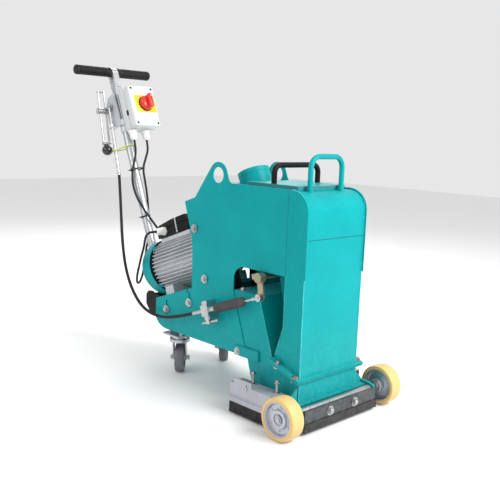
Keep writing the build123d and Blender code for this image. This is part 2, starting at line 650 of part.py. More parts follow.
# The valve lever hangs from the shaft end to the pin; its slot takes the pin's small rise.
arm_length = math.hypot(187 - 177, valve_z - pin_up)
arm_angle = math.degrees(math.atan2(187 - 177, valve_z - pin_up))
valve_arm = Rot(0, 90, 0) * Cylinder(15, 24)
arm_bar = Pos(0, 0, -arm_length / 2) * Box(6, 22, arm_length) + Pos(0, 0, -arm_length) * Rot(0, 90, 0) * Cylinder(11, 6)
arm_bar += Pos(0, 16, 4) * Box(20, 16, 16)
valve_arm += arm_bar
slot_hole = Pos(0, 0, -arm_length - 1) * Box(20, 9.6, 4.4)
for end in (-3.2, 1.2):
    slot_hole += Pos(0, 0, -arm_length + end) * Rot(0, 90, 0) * Cylinder(4.8, 20)
valve_arm -= slot_hole
valve_arm -= Rot(0, 90, 0) * Cylinder(flap_r, 40)
valve_arm = Pos(-152, valve_y, valve_z) * Rot(-arm_angle, 0, 0) * valve_arm
save("feed_valve", gate, valve_arm)

# ---- switch box on its bracket, knob and glands ----
box_x0, box_x1, box_y0, box_y1, box_z0, box_z1 = -18, 100, -97, -22, 330, 495
switch_box = fillet(block(box_x0, box_x1, box_y0, box_y1, box_z0, box_z1).edges(), 6)
switch_x, switch_z = 46, 420
switch_box -= Pos(switch_x, box_y0 + 8, switch_z) * Rot(90, 0, 0) * Cylinder(6 + fit, 40)
save("switch_box", mast * switch_box)
bracket_plate = block(-12, 90, box_y1, box_y1 + 4.8, 336, 488)
clamp_ring = Pos(0, 0, 350) * Cylinder(mast_r + 4, 20) - Pos(0, 0, 350) * Cylinder(mast_r, 40)
clamp_ring -= block(-40, 40, -40, box_y1 + 4.8, 330, 370)
save("mast_brackets", bracket, mast * (bracket_plate + clamp_ring))
knob_face = box_y0 - 5
dial = Pos(switch_x, knob_face - 10, switch_z) * Rot(90, 0, 0) * Cylinder(28, 20)
dial = fillet(dial.edges(), 3)
dial += Pos(switch_x, knob_face - 30, switch_z) * fillet(Box(56, 24, 17).edges(), 4)
dial += Pos(switch_x, box_y0 + 10, switch_z) * Rot(90, 0, 0) * Cylinder(6, 34)
save("switch_knob", mast * dial)

gland_r = 16.5
glands = []
gland_xs = (-1, 58)
for x in gland_xs:
    gland = Pos(x, -40, box_z0 - 19) * Cylinder(gland_r - 2, 38) + Pos(x, -40, box_z0 - 12) * Cylinder(gland_r + 3, 14)
    gland -= Pos(x, -40, box_z0 - 19) * Cylinder(4.4, 60)
    glands.append(mast * gland)
term_gland = shaft(1, 433, 435, motor_up + 119)
gland_at = drive * Pos(0, motor_up + 119, -434)
for side in (-1, 1):
    gland = Pos(side * 79, 0, 0) * Rot(0, 90, 0) * Cylinder(13.5, 38) + Pos(side * 71, 0, 0) * Rot(0, 90, 0) * Cylinder(17, 14)
    gland -= Pos(side * 79, 0, 0) * Rot(0, 90, 0) * Cylinder(4.4, 60)
    glands.append(gland_at * gland)
save("cable_glands", *glands)

# ---- the two leads from the switch box to the terminal box ----
gland_y = wheel_y + 434 * cos_t + (motor_up + 119) * sin_t
gland_z = wheel_z - 434 * sin_t + (motor_up + 119) * cos_t
lead_r = 4.2
right_lead = [
    on_mast(gland_xs[1], -40, box_z0 - 6), on_mast(gland_xs[1], -40, 262), on_mast(38, -34, 222),
    on_mast(19, -25, 182), on_mast(23, -15, 128), on_mast(26, -3, 70), on_mast(25, 11, 14),
    on_mast(20, 22, -42), on_mast(7, 29, -92), (-8, 955, 392), (-15, 953, 350), (-22, 951, 310),
    (-36, 944, 278), (-57, 932, 262), (-78, 916, 272), (-93, 894, 302), (-104, 866, 344), (-114, 838, 388),
    (-123, 810, 428), (-134, 790, 456), (-137, 777, 474), (-126, gland_y + 0.5, gland_z - 0.5),
    (-108, gland_y, gland_z), (-83, gland_y, gland_z),
]
left_lead = [
    on_mast(gland_xs[0], -40, box_z0 - 6), on_mast(gland_xs[0], -40, 266), on_mast(-9, -30, 222),
    on_mast(-24, -14, 178), on_mast(-27, 1, 124), on_mast(-27, -9, 64), on_mast(-17, -25, 12),
    on_mast(3, -31, -34), on_mast(26, -29, -72), (56, 906, 428), (84, 880, 420), (108, 850, 424),
    (126, 820, 438), (138, 794, 460), (138, 778, 476), (126, gland_y + 0.5, gland_z - 0.5), (108, gland_y, gland_z),
    (83, gland_y, gland_z),
]
leads = [cord(right_lead, lead_r, "right lead"), cord(left_lead, lead_r, "left lead")]
save("motor_leads", *leads)

# ---- front axle and wheels ----
axle = along_x(axle_r, -196, 196, 0, tyre_r)
axle += along_x(journal_r, -250, 250, 0, tyre_r)
for side in (-1, 1):
    axle += along_x(20, side * 188 - 7, side * 188 + 7, 0, tyre_r)
save("front_axle", axle)
hub_rim = 50.5
hub_points = [
    (journal_r + fit, 198), (20, 198), (20, 222), (44, 222), (hub_rim, tyre_in + 1.5), (hub_rim, tyre_out - 2),
    (46, tyre_out - 2), (43, 240), (27, 238), (26, 247), (18, 247), (17, 243), (journal_r + fit, 243),
]
hub_face = make_face(Polyline(*[(x, r) for r, x in hub_points], close=True))
hub = Pos(0, 0, tyre_r) * revolve(hub_face, axis=Axis.X)
tyre = Pos((tyre_in + tyre_out) / 2, 0, tyre_r) * Rot(0, 90, 0) * Cylinder(tyre_r, tyre_out - tyre_in)
tyre = fillet(tyre.edges(), 5)
tyre -= along_x(hub_rim, tyre_in - 1, tyre_out + 1, 0, tyre_r)
save("hub_left", hub)
save("tyre_left", tyre)
save("hub_right", mirror(hub, Plane.YZ))
save("tyre_right", mirror(tyre, Plane.YZ))

# ---- casters ----
pad_low, pad_high = 142.0, 148.0
pads = []
for side in (-1, 1):
    pad = block(side * caster_x - 42.5, side * caster_x + 42.5, swivel_y - 42.5, swivel_y + 42.5, pad_low, pad_high)
    pad += Pos(side * caster_x, swivel_y, pad_low - 6) * Cylinder(27, 12)
    pad -= Pos(side * caster_x, swivel_y, pad_low - 4) * Cylinder(8 + fit, 30)
    pads.append(pad)
    for dx in (-34, 18):
        for dy in (-30, 30):
            pads.append(Pos(side * (caster_x + dx), swivel_y + dy, (pad_high + plate_low + 2) / 2) * Cylinder(7, plate_low + 2 - pad_high))
save("caster_plates", *pads)
fork_side = outline([(swivel_y - 26, 122), (swivel_y + 26, 122), (caster_y + 16, 60), (caster_y + 14, 42), (caster_y - 14, 42), (caster_y - 22, 62)],
                    [((caster_y + 14, 42), 12), ((caster_y - 14, 42), 12)])
for side, name in ((-1, "right"), (1, "left")):
    x = side * caster_x
    fork = Pos(x, swivel_y, 124) * Cylinder(35, 10)
    fork += Pos(x, swivel_y, 135) * Cylinder(8, 34)
    for cheek_x in (-23, 20):
        fork += prism(fork_side, x + cheek_x, x + cheek_x + 3)
    fork += block(x - 23, x + 23, swivel_y - 24, swivel_y + 24, 119, 124)
    fork += along_x(6, x - 28, x + 28, caster_y, caster_r)
    parked = Pos(x, swivel_y, 0) * Rot(0, 0, caster_turn) * Pos(-x, -swivel_y, 0)
    save(f"caster_fork_{name}", parked * fork)
    core = along_x(37, x - 12, x + 12, caster_y, caster_r) + along_x(13, x - 19, x + 19, caster_y, caster_r)
    core -= along_x(6 + fit, x - 30, x + 30, caster_y, caster_r)
    tread = along_x(caster_r, x - 17, x + 17, caster_y, caster_r)
    tread = fillet(tread.edges(), 5)
    tread -= along_x(37, x - 12, x + 12, caster_y, caster_r)
    tread -= along_x(33, x - 20, x + 20, caster_y, caster_r)
    save(f"caster_hub_{name}", parked * core)
    save(f"caster_tread_{name}", parked * tread)

# ---- seals round the mouth ----
deck = 94.0
holder_points = [(152, deck), (152, deck + 3), (205, deck + 3), (205, 58), (212, 54), (212, 41), (198, 41), (198, 54), (202, 58), (202, deck)]
holder_face = make_face(Polyline(*holder_points, close=True))
holder = Pos(0, 244, 0) * extrude(Plane.XZ * holder_face, amount=174)
holder += block(202, 205, 154, 230, deck, 114)
holder -= block(200, 215, 170, 176, 84, 104)
holder += block(152, 178, 78, 96, carrier_high, deck)
holder += block(152, 178, 178, 196, carrier_high, deck)
brush = block(199.5, 210.5, 74, 242, 3, 41)
rear_brush = block(-192, 192, 247, 258, 4, 60)
rear_rail = block(-192, 192, 240, 247, 44, 75)
front_rail = block(-165, 165, -26, -21, 28, 72) + block(-165, 165, -26, 42, 28, 32)
front_rail += block(-120, 120, 37, 42, 32, carrier_low)
front_strip = block(-168, 168, -30, -26, 8, 34)
save("seal_holders", *both(holder), rear_rail, front_rail)
save("seal_strips", *both(brush), rear_brush, front_strip)

# ---- fasteners ----
bolts = []
plain = [(513.6, 528.2), (456.7, 369.3)]
for y, z in plain + tail_bolts:
    head = along_x(13, -half_casing - 2.5, -half_casing, y, z)
    head += hex_x(17, -half_casing - 9.5, -half_casing - 2.5, y, z)
    if (y, z) in tail_bolts:
        head += along_x(5.2, -half_casing, -126, y, z)
    bolts += both(head)
bolts += both(along_x(9, -141, -139, 287.8, 169.2) + hex_x(14, -147, -141, 287.8, 169.2))
for bolt_y in (38.8, 110.6):
    for side in (-1, 1):
        stud = Pos(0, 0, 0) * Cylinder(4.2, 2 * flange_t + 16)
        stud += Pos(0, 0, flange_t) * extrude(RegularPolygon(7, 6, major_radius=False), amount=6)
        stud += Pos(0, 0, -flange_t - 6) * extrude(RegularPolygon(7, 6, major_radius=False), amount=6)
        bolts.append(flange_plane * Pos(side * 143, bolt_y / cos_t, 0) * stud)
for x in (-112, 112):
    for y in (226, 300):
        bolts.append(hex_z(16, chute_top + 6, chute_top + 13, x, y))
for x in (-54, 60):
    bolts.append(Pos(x, -26, 50) * Rot(90, 0, 0) * extrude(RegularPolygon(8.5, 6, major_radius=False), amount=7))
for y in (87, 187):
    bolts += both(hex_z(13, 132, 138, -165, y) + Pos(-165, y, (deck + 135) / 2) * Cylinder(4, 129 - deck))
for side in (-1, 1):
    cap = along_x(9, 250, 253, 0, tyre_r) if side > 0 else along_x(9, -253, -250, 0, tyre_r)
    bolts.append(cap)
save("fasteners", *bolts)

print("overall centre at y", round(centre_y, 2), "pin along", round(pin_along, 2), "pin up", round(pin_up, 2))
print("valve arm", round(arm_length, 2), "angle", round(arm_angle, 2))
print("crank", round(crank, 2), "stroke", round(2 * half_stroke, 3), "pull", [round(v, 4) for v in pull])
print("pivot", [round(v, 2) for v in pivot], "valve swing from", round(valve_y - 177, 2))
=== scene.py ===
import json
import math
import bmesh
import bpy
from mathutils import Matrix, Vector


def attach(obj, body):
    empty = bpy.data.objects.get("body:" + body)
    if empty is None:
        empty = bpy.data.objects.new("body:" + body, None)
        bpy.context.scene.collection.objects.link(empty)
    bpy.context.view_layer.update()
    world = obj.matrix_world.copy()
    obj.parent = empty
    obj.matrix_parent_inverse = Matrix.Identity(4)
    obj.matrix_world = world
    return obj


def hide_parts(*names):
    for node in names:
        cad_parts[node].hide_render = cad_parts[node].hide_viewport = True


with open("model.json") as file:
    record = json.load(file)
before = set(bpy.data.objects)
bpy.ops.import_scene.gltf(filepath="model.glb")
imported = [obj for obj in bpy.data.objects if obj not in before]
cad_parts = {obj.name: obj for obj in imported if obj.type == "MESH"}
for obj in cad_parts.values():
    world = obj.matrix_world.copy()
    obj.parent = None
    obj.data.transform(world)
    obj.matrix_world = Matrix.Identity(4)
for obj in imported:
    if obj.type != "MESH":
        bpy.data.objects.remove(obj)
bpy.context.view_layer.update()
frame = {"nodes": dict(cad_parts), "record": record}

midLength = 580.85  # front axle to the middle of the machine, mm


def at(x, y, z):
    return Vector((x, y - midLength, z)) / 1000  # from the front axle in mm to the frame in metres


def frameOf(origin, xDir, zDir):
    zAxis = Vector(zDir).normalized()
    xAxis = Vector(xDir).normalized()
    yAxis = zAxis.cross(xAxis)
    turn = Matrix((xAxis, yAxis, zAxis)).transposed().to_4x4()
    return Matrix.Translation(at(*origin)) @ turn @ Matrix.Scale(0.001, 4)


tilt = math.radians(20)
lean = math.radians(23.07)
sinTilt, cosTilt = math.sin(tilt), math.cos(tilt)
sinLean, cosLean = math.sin(lean), math.cos(lean)
drive = frameOf((0, 219, 229.8), (1, 0, 0), (0, -cosTilt, sinTilt))  # z forward along the wheel shaft, mm
mast = frameOf((0, 974, 516), (1, 0, 0), (0, sinLean, cosLean))  # z up the mast, y backwards
push = frameOf((-165, 423, 273.5), (1, 0, 0), (0, -cosTilt, sinTilt))  # z along the push rod
plain = frameOf((0, 0, 0), (1, 0, 0), (0, 0, 1))
motorUp = 308.5


def axisFrame(x, y, z, toward):
    side = Vector((0, 0, 1)) if abs(toward[2]) < 0.9 else Vector((1, 0, 0))
    return frameOf((x, y, z), side.cross(Vector(toward)), toward)


# ---- camera, light and floor ----
cameraAt = {"place": (-1.6393, -1.8765, 0.8392), "yaw": 44.2, "pitch": 9.1, "roll": 2.1, "lens": 52.06}


def placeCamera(s):
    yaw, pitch, roll = (math.radians(s[k]) for k in ("yaw", "pitch", "roll"))
    forward = Vector((math.sin(yaw) * math.cos(pitch), math.cos(yaw) * math.cos(pitch), -math.sin(pitch)))
    level = Vector((math.cos(yaw), -math.sin(yaw), 0))
    upright = level.cross(forward)
    right = level * math.cos(roll) + upright * math.sin(roll)
    top = upright * math.cos(roll) - level * math.sin(roll)
    data = bpy.data.cameras.new("camera")
    data.lens = s["lens"]
    data.sensor_width = 36
    camera = bpy.data.objects.new("camera", data)
    turn = Matrix((right, top, -forward)).transposed().to_4x4()
    camera.matrix_world = Matrix.Translation(s["place"]) @ turn
    bpy.context.collection.objects.link(camera)
    bpy.context.scene.camera = camera


placeCamera(cameraAt)


def areaLight(name, place, target, size, power, tint=(1, 1, 1)):
    data = bpy.data.lights.new(name, "AREA")
    data.size = size
    data.energy = power
    data.color = tint
    lamp = bpy.data.objects.new(name, data)
    lamp.location = place
    lamp.rotation_euler = (Vector(target) - Vector(place)).to_track_quat("-Z", "Y").to_euler()
    bpy.context.collection.objects.link(lamp)


areaLight("frontSoftbox", (0.6, -2.8, 2.3), (0, -0.2, 0.5), 1.8, 118)
areaLight("sideSoftbox", (-3.0, 0.6, 2.1), (0, 0.1, 0.4), 1.9, 26)
areaLight("backSoftbox", (1.8, 2.2, 2.4), (0, 0.2, 0.4), 1.8, 40)
world = bpy.data.worlds.new("studio")
world.use_nodes = True
world.node_tree.nodes["Background"].inputs["Color"].default_value = (1, 1, 1, 1)
world.node_tree.nodes["Background"].inputs["Strength"].default_value = 0.8
bpy.context.scene.world = world
bpy.context.scene.view_settings.view_transform = "Standard"
print("camera and lights set")


# ---- a socket that takes Python arithmetic, for materials and node trees ----
class Wire:
    def __init__(self, tree, socket):
        self.tree = tree
        self.socket = socket

    def calc(self, operation, left, right):
        return add(self.tree, "ShaderNodeMath", {"operation": operation}, {0: left, 1: right})

    def __add__(self, other):
        return self.calc("ADD", self, other)

    __radd__ = __add__

    def __sub__(self, other):
        return self.calc("SUBTRACT", self, other)

    def __rsub__(self, other):
        return self.calc("SUBTRACT", other, self)

    def __mul__(self, other):
        return self.calc("MULTIPLY", self, other)

    __rmul__ = __mul__

    def __pow__(self, other):
        return self.calc("POWER", self, other)


def addNode(tree, kind, settings=None, inputs=None):
    made = tree.nodes.new(kind)
    for key, value in (settings or {}).items():
        setattr(made, key, value)
    for key, value in (inputs or {}).items():
        if isinstance(value, Wire):
            tree.links.new(value.socket, made.inputs[key])
        elif value is not None:
            made.inputs[key].default_value = value
    return made


def add(tree, kind, settings=None, inputs=None, out=0):
    return Wire(tree, addNode(tree, kind, settings, inputs).outputs[out])


def ramp(wire, low, high):
    return add(wire.tree, "ShaderNodeMapRange", {"clamp": True},
        {"Value": wire, "From Min": low, "From Max": high})


def noise(tree, where, scale, detail=3.0, rough=0.5):
    return add(tree, "ShaderNodeTexNoise", None,
        {"Vector": where, "Scale": scale, "Detail": detail, "Roughness": rough})


def blendColour(amount, first, second):
    first = first if isinstance(first, Wire) else (*first, 1)
    second = second if isinstance(second, Wire) else (*second, 1)
    mixer = addNode(amount.tree, "ShaderNodeMix", {"data_type": "RGBA"}, {0: amount, 6: first, 7: second})
    return Wire(amount.tree, mixer.outputs[2])


finishes = {
    "teal": {"colour": (0.0, 0.33, 0.34), "shade": (0.0, 0.27, 0.285), "rough": 0.38, "gloss": 0.12,
        "peel": (520, 0.05), "dust": 0.16},
    # the bead colour is far brighter than the teal paint: a painted highlight along the welds
    "weldHighlightTeal": {"colour": (0.08, 0.62, 0.62), "shade": (0.01, 0.4, 0.41), "rough": 0.3, "coat": 0.3,
        "peel": (520, 0.1)},
    # a darker teal for the line at the side plate's bend: painted shade
    "scoreShadeTeal": {"colour": (0.0, 0.2, 0.215), "shade": (0.0, 0.16, 0.17), "rough": 0.5,
        "peel": (520, 0.05)},
    "zincGrey": {"colour": (0.5, 0.5, 0.56), "shade": (0.36, 0.36, 0.41), "rough": 0.4, "metal": 0.45,
        "peel": (500, 0.1), "dust": 0.2},
    "yellowZinc": {"colour": (0.46, 0.42, 0.3), "shade": (0.3, 0.26, 0.18), "rough": 0.36, "metal": 0.8,
        "peel": (500, 0.1)},
    "bootGrey": {"colour": (0.11, 0.1, 0.108), "shade": (0.05, 0.046, 0.05), "rough": 0.6, "gloss": 0.3,
        "peel": (500, 0.15)},
    "silver": {"colour": (0.62, 0.64, 0.67), "shade": (0.46, 0.48, 0.5), "rough": 0.42, "metal": 0.35,
        "peel": (260, 0.2), "dust": 0.1},
    "galvanised": {"colour": (0.62, 0.64, 0.65), "shade": (0.42, 0.44, 0.46), "rough": 0.36, "metal": 0.8,
        "spangle": 95, "peel": (300, 0.05)},
    "steel": {"colour": (0.6, 0.6, 0.6), "shade": (0.4, 0.4, 0.41), "rough": 0.3, "metal": 1.0,
        "brushed": 0.5, "peel": (700, 0.06)},
    "dark_steel": {"colour": (0.075, 0.085, 0.095), "shade": (0.03, 0.035, 0.04), "rough": 0.45,
        "metal": 0.5, "peel": (330, 0.15), "dust": 0.35},
    "wear_steel": {"colour": (0.22, 0.21, 0.2), "shade": (0.1, 0.095, 0.09), "rough": 0.55, "metal": 0.7,
        "peel": (420, 0.5)},
    "black_paint": {"colour": (0.012, 0.012, 0.013), "shade": (0.006, 0.006, 0.007), "rough": 0.4,
        "gloss": 0.12, "peel": (600, 0.08), "dust": 0.08},
    "black_plastic": {"colour": (0.018, 0.018, 0.02), "shade": (0.009, 0.009, 0.01), "rough": 0.55,
        "peel": (1500, 0.25)},
    "black_gloss": {"colour": (0.012, 0.012, 0.013), "shade": (0.008, 0.008, 0.008), "rough": 0.14,
        "coat": 0.4, "peel": (60, 0.02)},
    "box_grey": {"colour": (0.66, 0.68, 0.68), "shade": (0.56, 0.58, 0.58), "rough": 0.5,
        "peel": (1700, 0.18)},
    "red_plastic": {"colour": (0.78, 0.03, 0.02), "shade": (0.56, 0.012, 0.012), "rough": 0.28, "coat": 0.2,
        "peel": (900, 0.05)},
    "white_plastic": {"colour": (0.85, 0.85, 0.83), "shade": (0.74, 0.74, 0.71), "rough": 0.45,
        "peel": (1200, 0.1)},
    "polyurethane": {"colour": (0.78, 0.52, 0.19), "shade": (0.62, 0.4, 0.13), "rough": 0.4, "coat": 0.05,
        "peel": (240, 0.12), "dust": 0.25},
    "hub_aluminium": {"colour": (0.6, 0.61, 0.67), "shade": (0.44, 0.45, 0.5), "rough": 0.4, "metal": 0.85,
        "peel": (500, 0.3)},
    "grey_rubber": {"colour": (0.19, 0.2, 0.22), "shade": (0.12, 0.13, 0.14), "rough": 0.66,
        "peel": (700, 0.25), "dust": 0.25},
    "black_rubber": {"colour": (0.016, 0.016, 0.017), "shade": (0.008, 0.008, 0.009), "rough": 0.6,
        "gloss": 0.3, "peel": (800, 0.2)},
    "grip_rubber": {"colour": (0.014, 0.014, 0.015), "shade": (0.007, 0.007, 0.008), "rough": 0.52,
        "gloss": 0.3, "peel": (1300, 0.3)},
    "bristle": {"colour": (0.022, 0.021, 0.02), "shade": (0.009, 0.009, 0.009), "rough": 0.7,
        "peel": (900, 0.3), "dust": 0.15},
    "yellowPlate": {"colour": (0.85, 0.62, 0.01), "shade": (0.72, 0.5, 0.008), "rough": 0.34, "coat": 0.2,
        "peel": (900, 0.04)},
    "limeStrap": {"colour": (0.5, 0.62, 0.05), "shade": (0.36, 0.46, 0.03), "rough": 0.4,
        "peel": (900, 0.08)},
    # near black with no sheen, for the vent holes and the gap by the fan: painted shade
    "ventShadeBlack": {"colour": (0.004, 0.004, 0.004), "shade": (0.002, 0.002, 0.002), "rough": 0.9,
        "peel": (200, 0.05)},
}
dustColour = (0.33, 0.32, 0.3)


def makeFinish(name, s):
    material = bpy.data.materials.new(name)
    material.use_nodes = True
    tree = material.node_tree
    shader = tree.nodes["Principled BSDF"]
    where = add(tree, "ShaderNodeTexCoord", out="Object")
    broad = noise(tree, where, 9, 4)  # slow change of tone over a panel
    fine = noise(tree, where, 70, 5, 0.62)  # handling marks
    tone = ramp(broad, 0.3, 0.72) * 0.65 + ramp(fine, 0.35, 0.75) * 0.35
    colour = blendColour(tone, s["shade"], s["colour"])
    roughness = s["rough"] + (fine - 0.5) * 0.22 + (broad - 0.5) * 0.1
    grainScale, grainDepth = s["peel"]
    grain = noise(tree, where, grainScale, 2)
    if "spangle" in s:  # zinc crystals
        cells = add(tree, "ShaderNodeTexVoronoi", {"feature": "F1"},
            {"Vector": where, "Scale": s["spangle"]}, out="Color")
        flake = add(tree, "ShaderNodeSeparateColor", None, {"Color": cells}, out="Red")
        colour = blendColour(flake * 0.55, colour, s["shade"])
        roughness = roughness + (flake - 0.5) * 0.12
    if "brushed" in s:  # drawn lines along x
        stretched = add(tree, "ShaderNodeMapping", None, {"Vector": where, "Scale": (12, 420, 420)})
        lines = noise(tree, stretched, 1.0, 3)
        roughness = roughness + (lines - 0.5) * s["brushed"] * 0.35
        grain = grain * 0.5 + lines * 0.5
    if s.get("dust"):  # concrete dust that settles low down and on ledges
        height = add(tree, "ShaderNodeSeparateXYZ", None, {"Vector": where}, out="Z")
        facing = add(tree, "ShaderNodeNewGeometry", out="Normal")
        skyward = ramp(add(tree, "ShaderNodeSeparateXYZ", None, {"Vector": facing}, out="Z"), 0.55, 1.0)
        low = 1 - ramp(height, 0.0, 0.3)
        dust = (low * 0.7 + skyward * 0.25) * ramp(fine, 0.36, 0.66) * s["dust"]
        colour = blendColour(dust, colour, dustColour)
        roughness = roughness + dust * 0.35
    bump = add(tree, "ShaderNodeBump", None, {"Height": grain, "Strength": grainDepth, "Distance": 0.0012},
        out="Normal")
    tree.links.new(colour.socket, shader.inputs["Base Color"])
    tree.links.new(roughness.socket, shader.inputs["Roughness"])
    tree.links.new(bump.socket, shader.inputs["Normal"])
    shader.inputs["Metallic"].default_value = s.get("metal", 0)
    shader.inputs["Coat Weight"].default_value = s.get("coat", 0)
    shader.inputs["Coat Roughness"].default_value = 0.12
    shader.inputs["Specular IOR Level"].default_value = s.get("gloss", 0.5)
    return material


paints = {name: makeFinish(name, s) for name, s in finishes.items()}
slotOf = {entry["node"]: entry["material_slot"] for entry in frame["record"]["subparts"]}
ownLook = {"feed_valve": "yellowZinc", "seal_holders": "zincGrey"}
for nodeName, node in frame["nodes"].items():
    node.data.materials.clear()
    node.data.materials.append(paints[ownLook.get(nodeName, slotOf[nodeName])])
holders = frame["nodes"]["seal_holders"].data
holders.materials.append(paints["dark_steel"])
for face in holders.polygons:
    face.material_index = int(face.center.y < at(0, 60, 0).y)  # the front rail stays dark
print("finishes made:", len(paints))


# ---- making pieces ----
def meshPiece(name, bm, place, body, slot, paint=None, replaces=(), smooth=35):
    bmesh.ops.recalc_face_normals(bm, faces=bm.faces)
    mesh = bpy.data.meshes.new(name)
    bm.to_mesh(mesh)
    bm.free()
    mesh.transform(place)
    if place.determinant() < 0:
        mesh.flip_normals()
    return dress(name, mesh, body, slot, paint, replaces, smooth)


def dress(name, mesh, body, slot, paint=None, replaces=(), smooth=35):
    mesh.materials.clear()
    mesh.materials.append(paints[paint or slot])
    mesh.polygons.foreach_set("use_smooth", [True] * len(mesh.polygons))
    mesh.set_sharp_from_angle(angle=math.radians(smooth))
    piece = bpy.data.objects.new(name, mesh)
    bpy.context.collection.objects.link(piece)
    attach(piece, body)
    if replaces:
        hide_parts(*replaces)
    return piece


def lathe(profile, steps=48, ring=False, bm=None, place=None):
    # profile is (radius, height) in mm; a ring profile closes on itself
    bm = bm or bmesh.new()
    place = place or Matrix.Identity(4)
    rings = []
    for radius, height in profile:
        if radius < 1e-6:
            rings.append([bm.verts.new(place @ Vector((0, 0, height)))])
            continue
        angles = [2 * math.pi * i / steps for i in range(steps)]
        spots = [(radius * math.cos(angle), radius * math.sin(angle), height) for angle in angles]
        rings.append([bm.verts.new(place @ Vector(spot)) for spot in spots])
    pairs = list(zip(rings, rings[1:])) + ([(rings[-1], rings[0])] if ring else [])
    for lower, upper in pairs:
        for i in range(steps):
            j = (i + 1) % steps
            corners = []
            around = (lower[i % len(lower)], lower[j % len(lower)],
                      upper[j % len(upper)], upper[i % len(upper)])
            for vert in around:
                if vert not in corners:
                    corners.append(vert)
            if len(corners) > 2:
                bm.faces.new(corners)
    return bm


def slab(low, high, edge=1.0, bm=None, place=None, segments=3):
    # a box with rounded edges, between two corners in mm
    part = bmesh.new()
    bmesh.ops.create_cube(part, size=1)
    size = [b - a for a, b in zip(low, high)]
    middle = [(a + b) / 2 for a, b in zip(low, high)]
    bmesh.ops.transform(part, matrix=Matrix.Translation(middle) @ Matrix.Diagonal((*size, 1)),
        verts=part.verts)
    if edge:
        bmesh.ops.bevel(part, geom=part.edges[:], offset=edge, segments=segments, profile=0.5,
            affect="EDGES")
    return joined(part, bm, place)


def joined(part, bm, place=None):
    if place:
        bmesh.ops.transform(part, matrix=place, verts=part.verts)
    if bm is None:
        return part
    spare = bpy.data.meshes.new("spare")
    part.to_mesh(spare)
    part.free()
    bm.from_mesh(spare)
    bpy.data.meshes.remove(spare)
    return bm


def outlinePlate(points, low, high, edge=0.8, bm=None, place=None):
    # a plate with a bevelled outline, standing on local z
    part = bmesh.new()
    face = part.faces.new([part.verts.new((x, y, low)) for x, y in points])
    grown = bmesh.ops.extrude_face_region(part, geom=[face])["geom"]
    bmesh.ops.translate(part, vec=(0, 0, high - low),
        verts=[v for v in grown if isinstance(v, bmesh.types.BMVert)])
    bmesh.ops.recalc_face_normals(part, faces=part.faces)
    if edge:
        bmesh.ops.bevel(part, geom=part.edges[:], offset=edge, segments=2, profile=0.5, affect="EDGES")
    return joined(part, bm, place)


def roundedRectangle(width, height, corner, steps=5):
    points = []
    for cx, cy, start in ((1, 1, 0), (-1, 1, 90), (-1, -1, 180), (1, -1, 270)):
        for i in range(steps + 1):
            angle = math.radians(start + 90 * i / steps)
            points.append((cx * (width / 2 - corner) + corner * math.cos(angle),
                           cy * (height / 2 - corner) + corner * math.sin(angle)))
    return points


# ---- node trees for what repeats ----
def newTree(name, inputs):
    tree = bpy.data.node_groups.new(name, "GeometryNodeTree")
    tree.interface.new_socket(name="Geometry", in_out="INPUT", socket_type="NodeSocketGeometry")
    kinds = {float: "NodeSocketFloat", int: "NodeSocketInt"}
    for label, value in inputs.items():
        tree.interface.new_socket(name=label, in_out="INPUT", socket_type=kinds[type(value)])
    tree.interface.new_socket(name="Geometry", in_out="OUTPUT", socket_type="NodeSocketGeometry")
    start = tree.nodes.new("NodeGroupInput")
    wires = {socket.name: Wire(tree, socket) for socket in start.outputs if socket.name}
    return tree, wires


def endTree(tree, geometry, paint):
    real = add(tree, "GeometryNodeRealizeInstances", None, {"Geometry": geometry})
    painted = add(tree, "GeometryNodeSetMaterial", None, {"Geometry": real, "Material": paints[paint]})
    finish = tree.nodes.new("NodeGroupOutput")
    tree.links.new(painted.socket, finish.inputs[0])
    return tree


def grow(tree, source, values, name):
    # runs the tree on a helper mesh and returns the result as a plain mesh
    helper = bpy.data.objects.new(name + "Source", source)
    bpy.context.collection.objects.link(helper)
    modifier = helper.modifiers.new("repeat", "NODES")
    modifier.node_group = tree
    for item in tree.interface.items_tree:
        if item.in_out == "INPUT" and item.name in values:
            modifier[item.identifier] = values[item.name]
    shown = helper.evaluated_get(bpy.context.evaluated_depsgraph_get())
    mesh = bpy.data.meshes.new_from_object(shown)
    helper.modifiers.remove(modifier)
    bpy.data.objects.remove(helper)
    mesh.name = name
    return mesh


def spotMesh(spots):
    # points with an aim and a size, for the screws and rings
    mesh = bpy.data.meshes.new("spots")
    mesh.from_pydata([tuple(place) for place, aim, size in spots], [], [])
    mesh.attributes.new("aim", "FLOAT_VECTOR", "POINT")
    mesh.attributes.new("size", "FLOAT", "POINT")
    for i, (place, aim, size) in enumerate(spots):
        mesh.attributes["aim"].data[i].vector = Vector(aim)
        mesh.attributes["size"].data[i].value = size
    return mesh


def namedValue(tree, label, kind):
    return add(tree, "GeometryNodeInputNamedAttribute", {"data_type": kind}, {"Name": label})


def cylinderNode(tree, sides, radius, depth, lift):
    body = add(tree, "GeometryNodeMeshCylinder", None,
        {"Vertices": sides, "Radius": radius, "Depth": depth})
    height = depth * 0.5 + lift
    shift = add(tree, "ShaderNodeCombineXYZ", None, {"Z": height})
    return add(tree, "GeometryNodeTransform", None, {"Geometry": body, "Translation": shift})


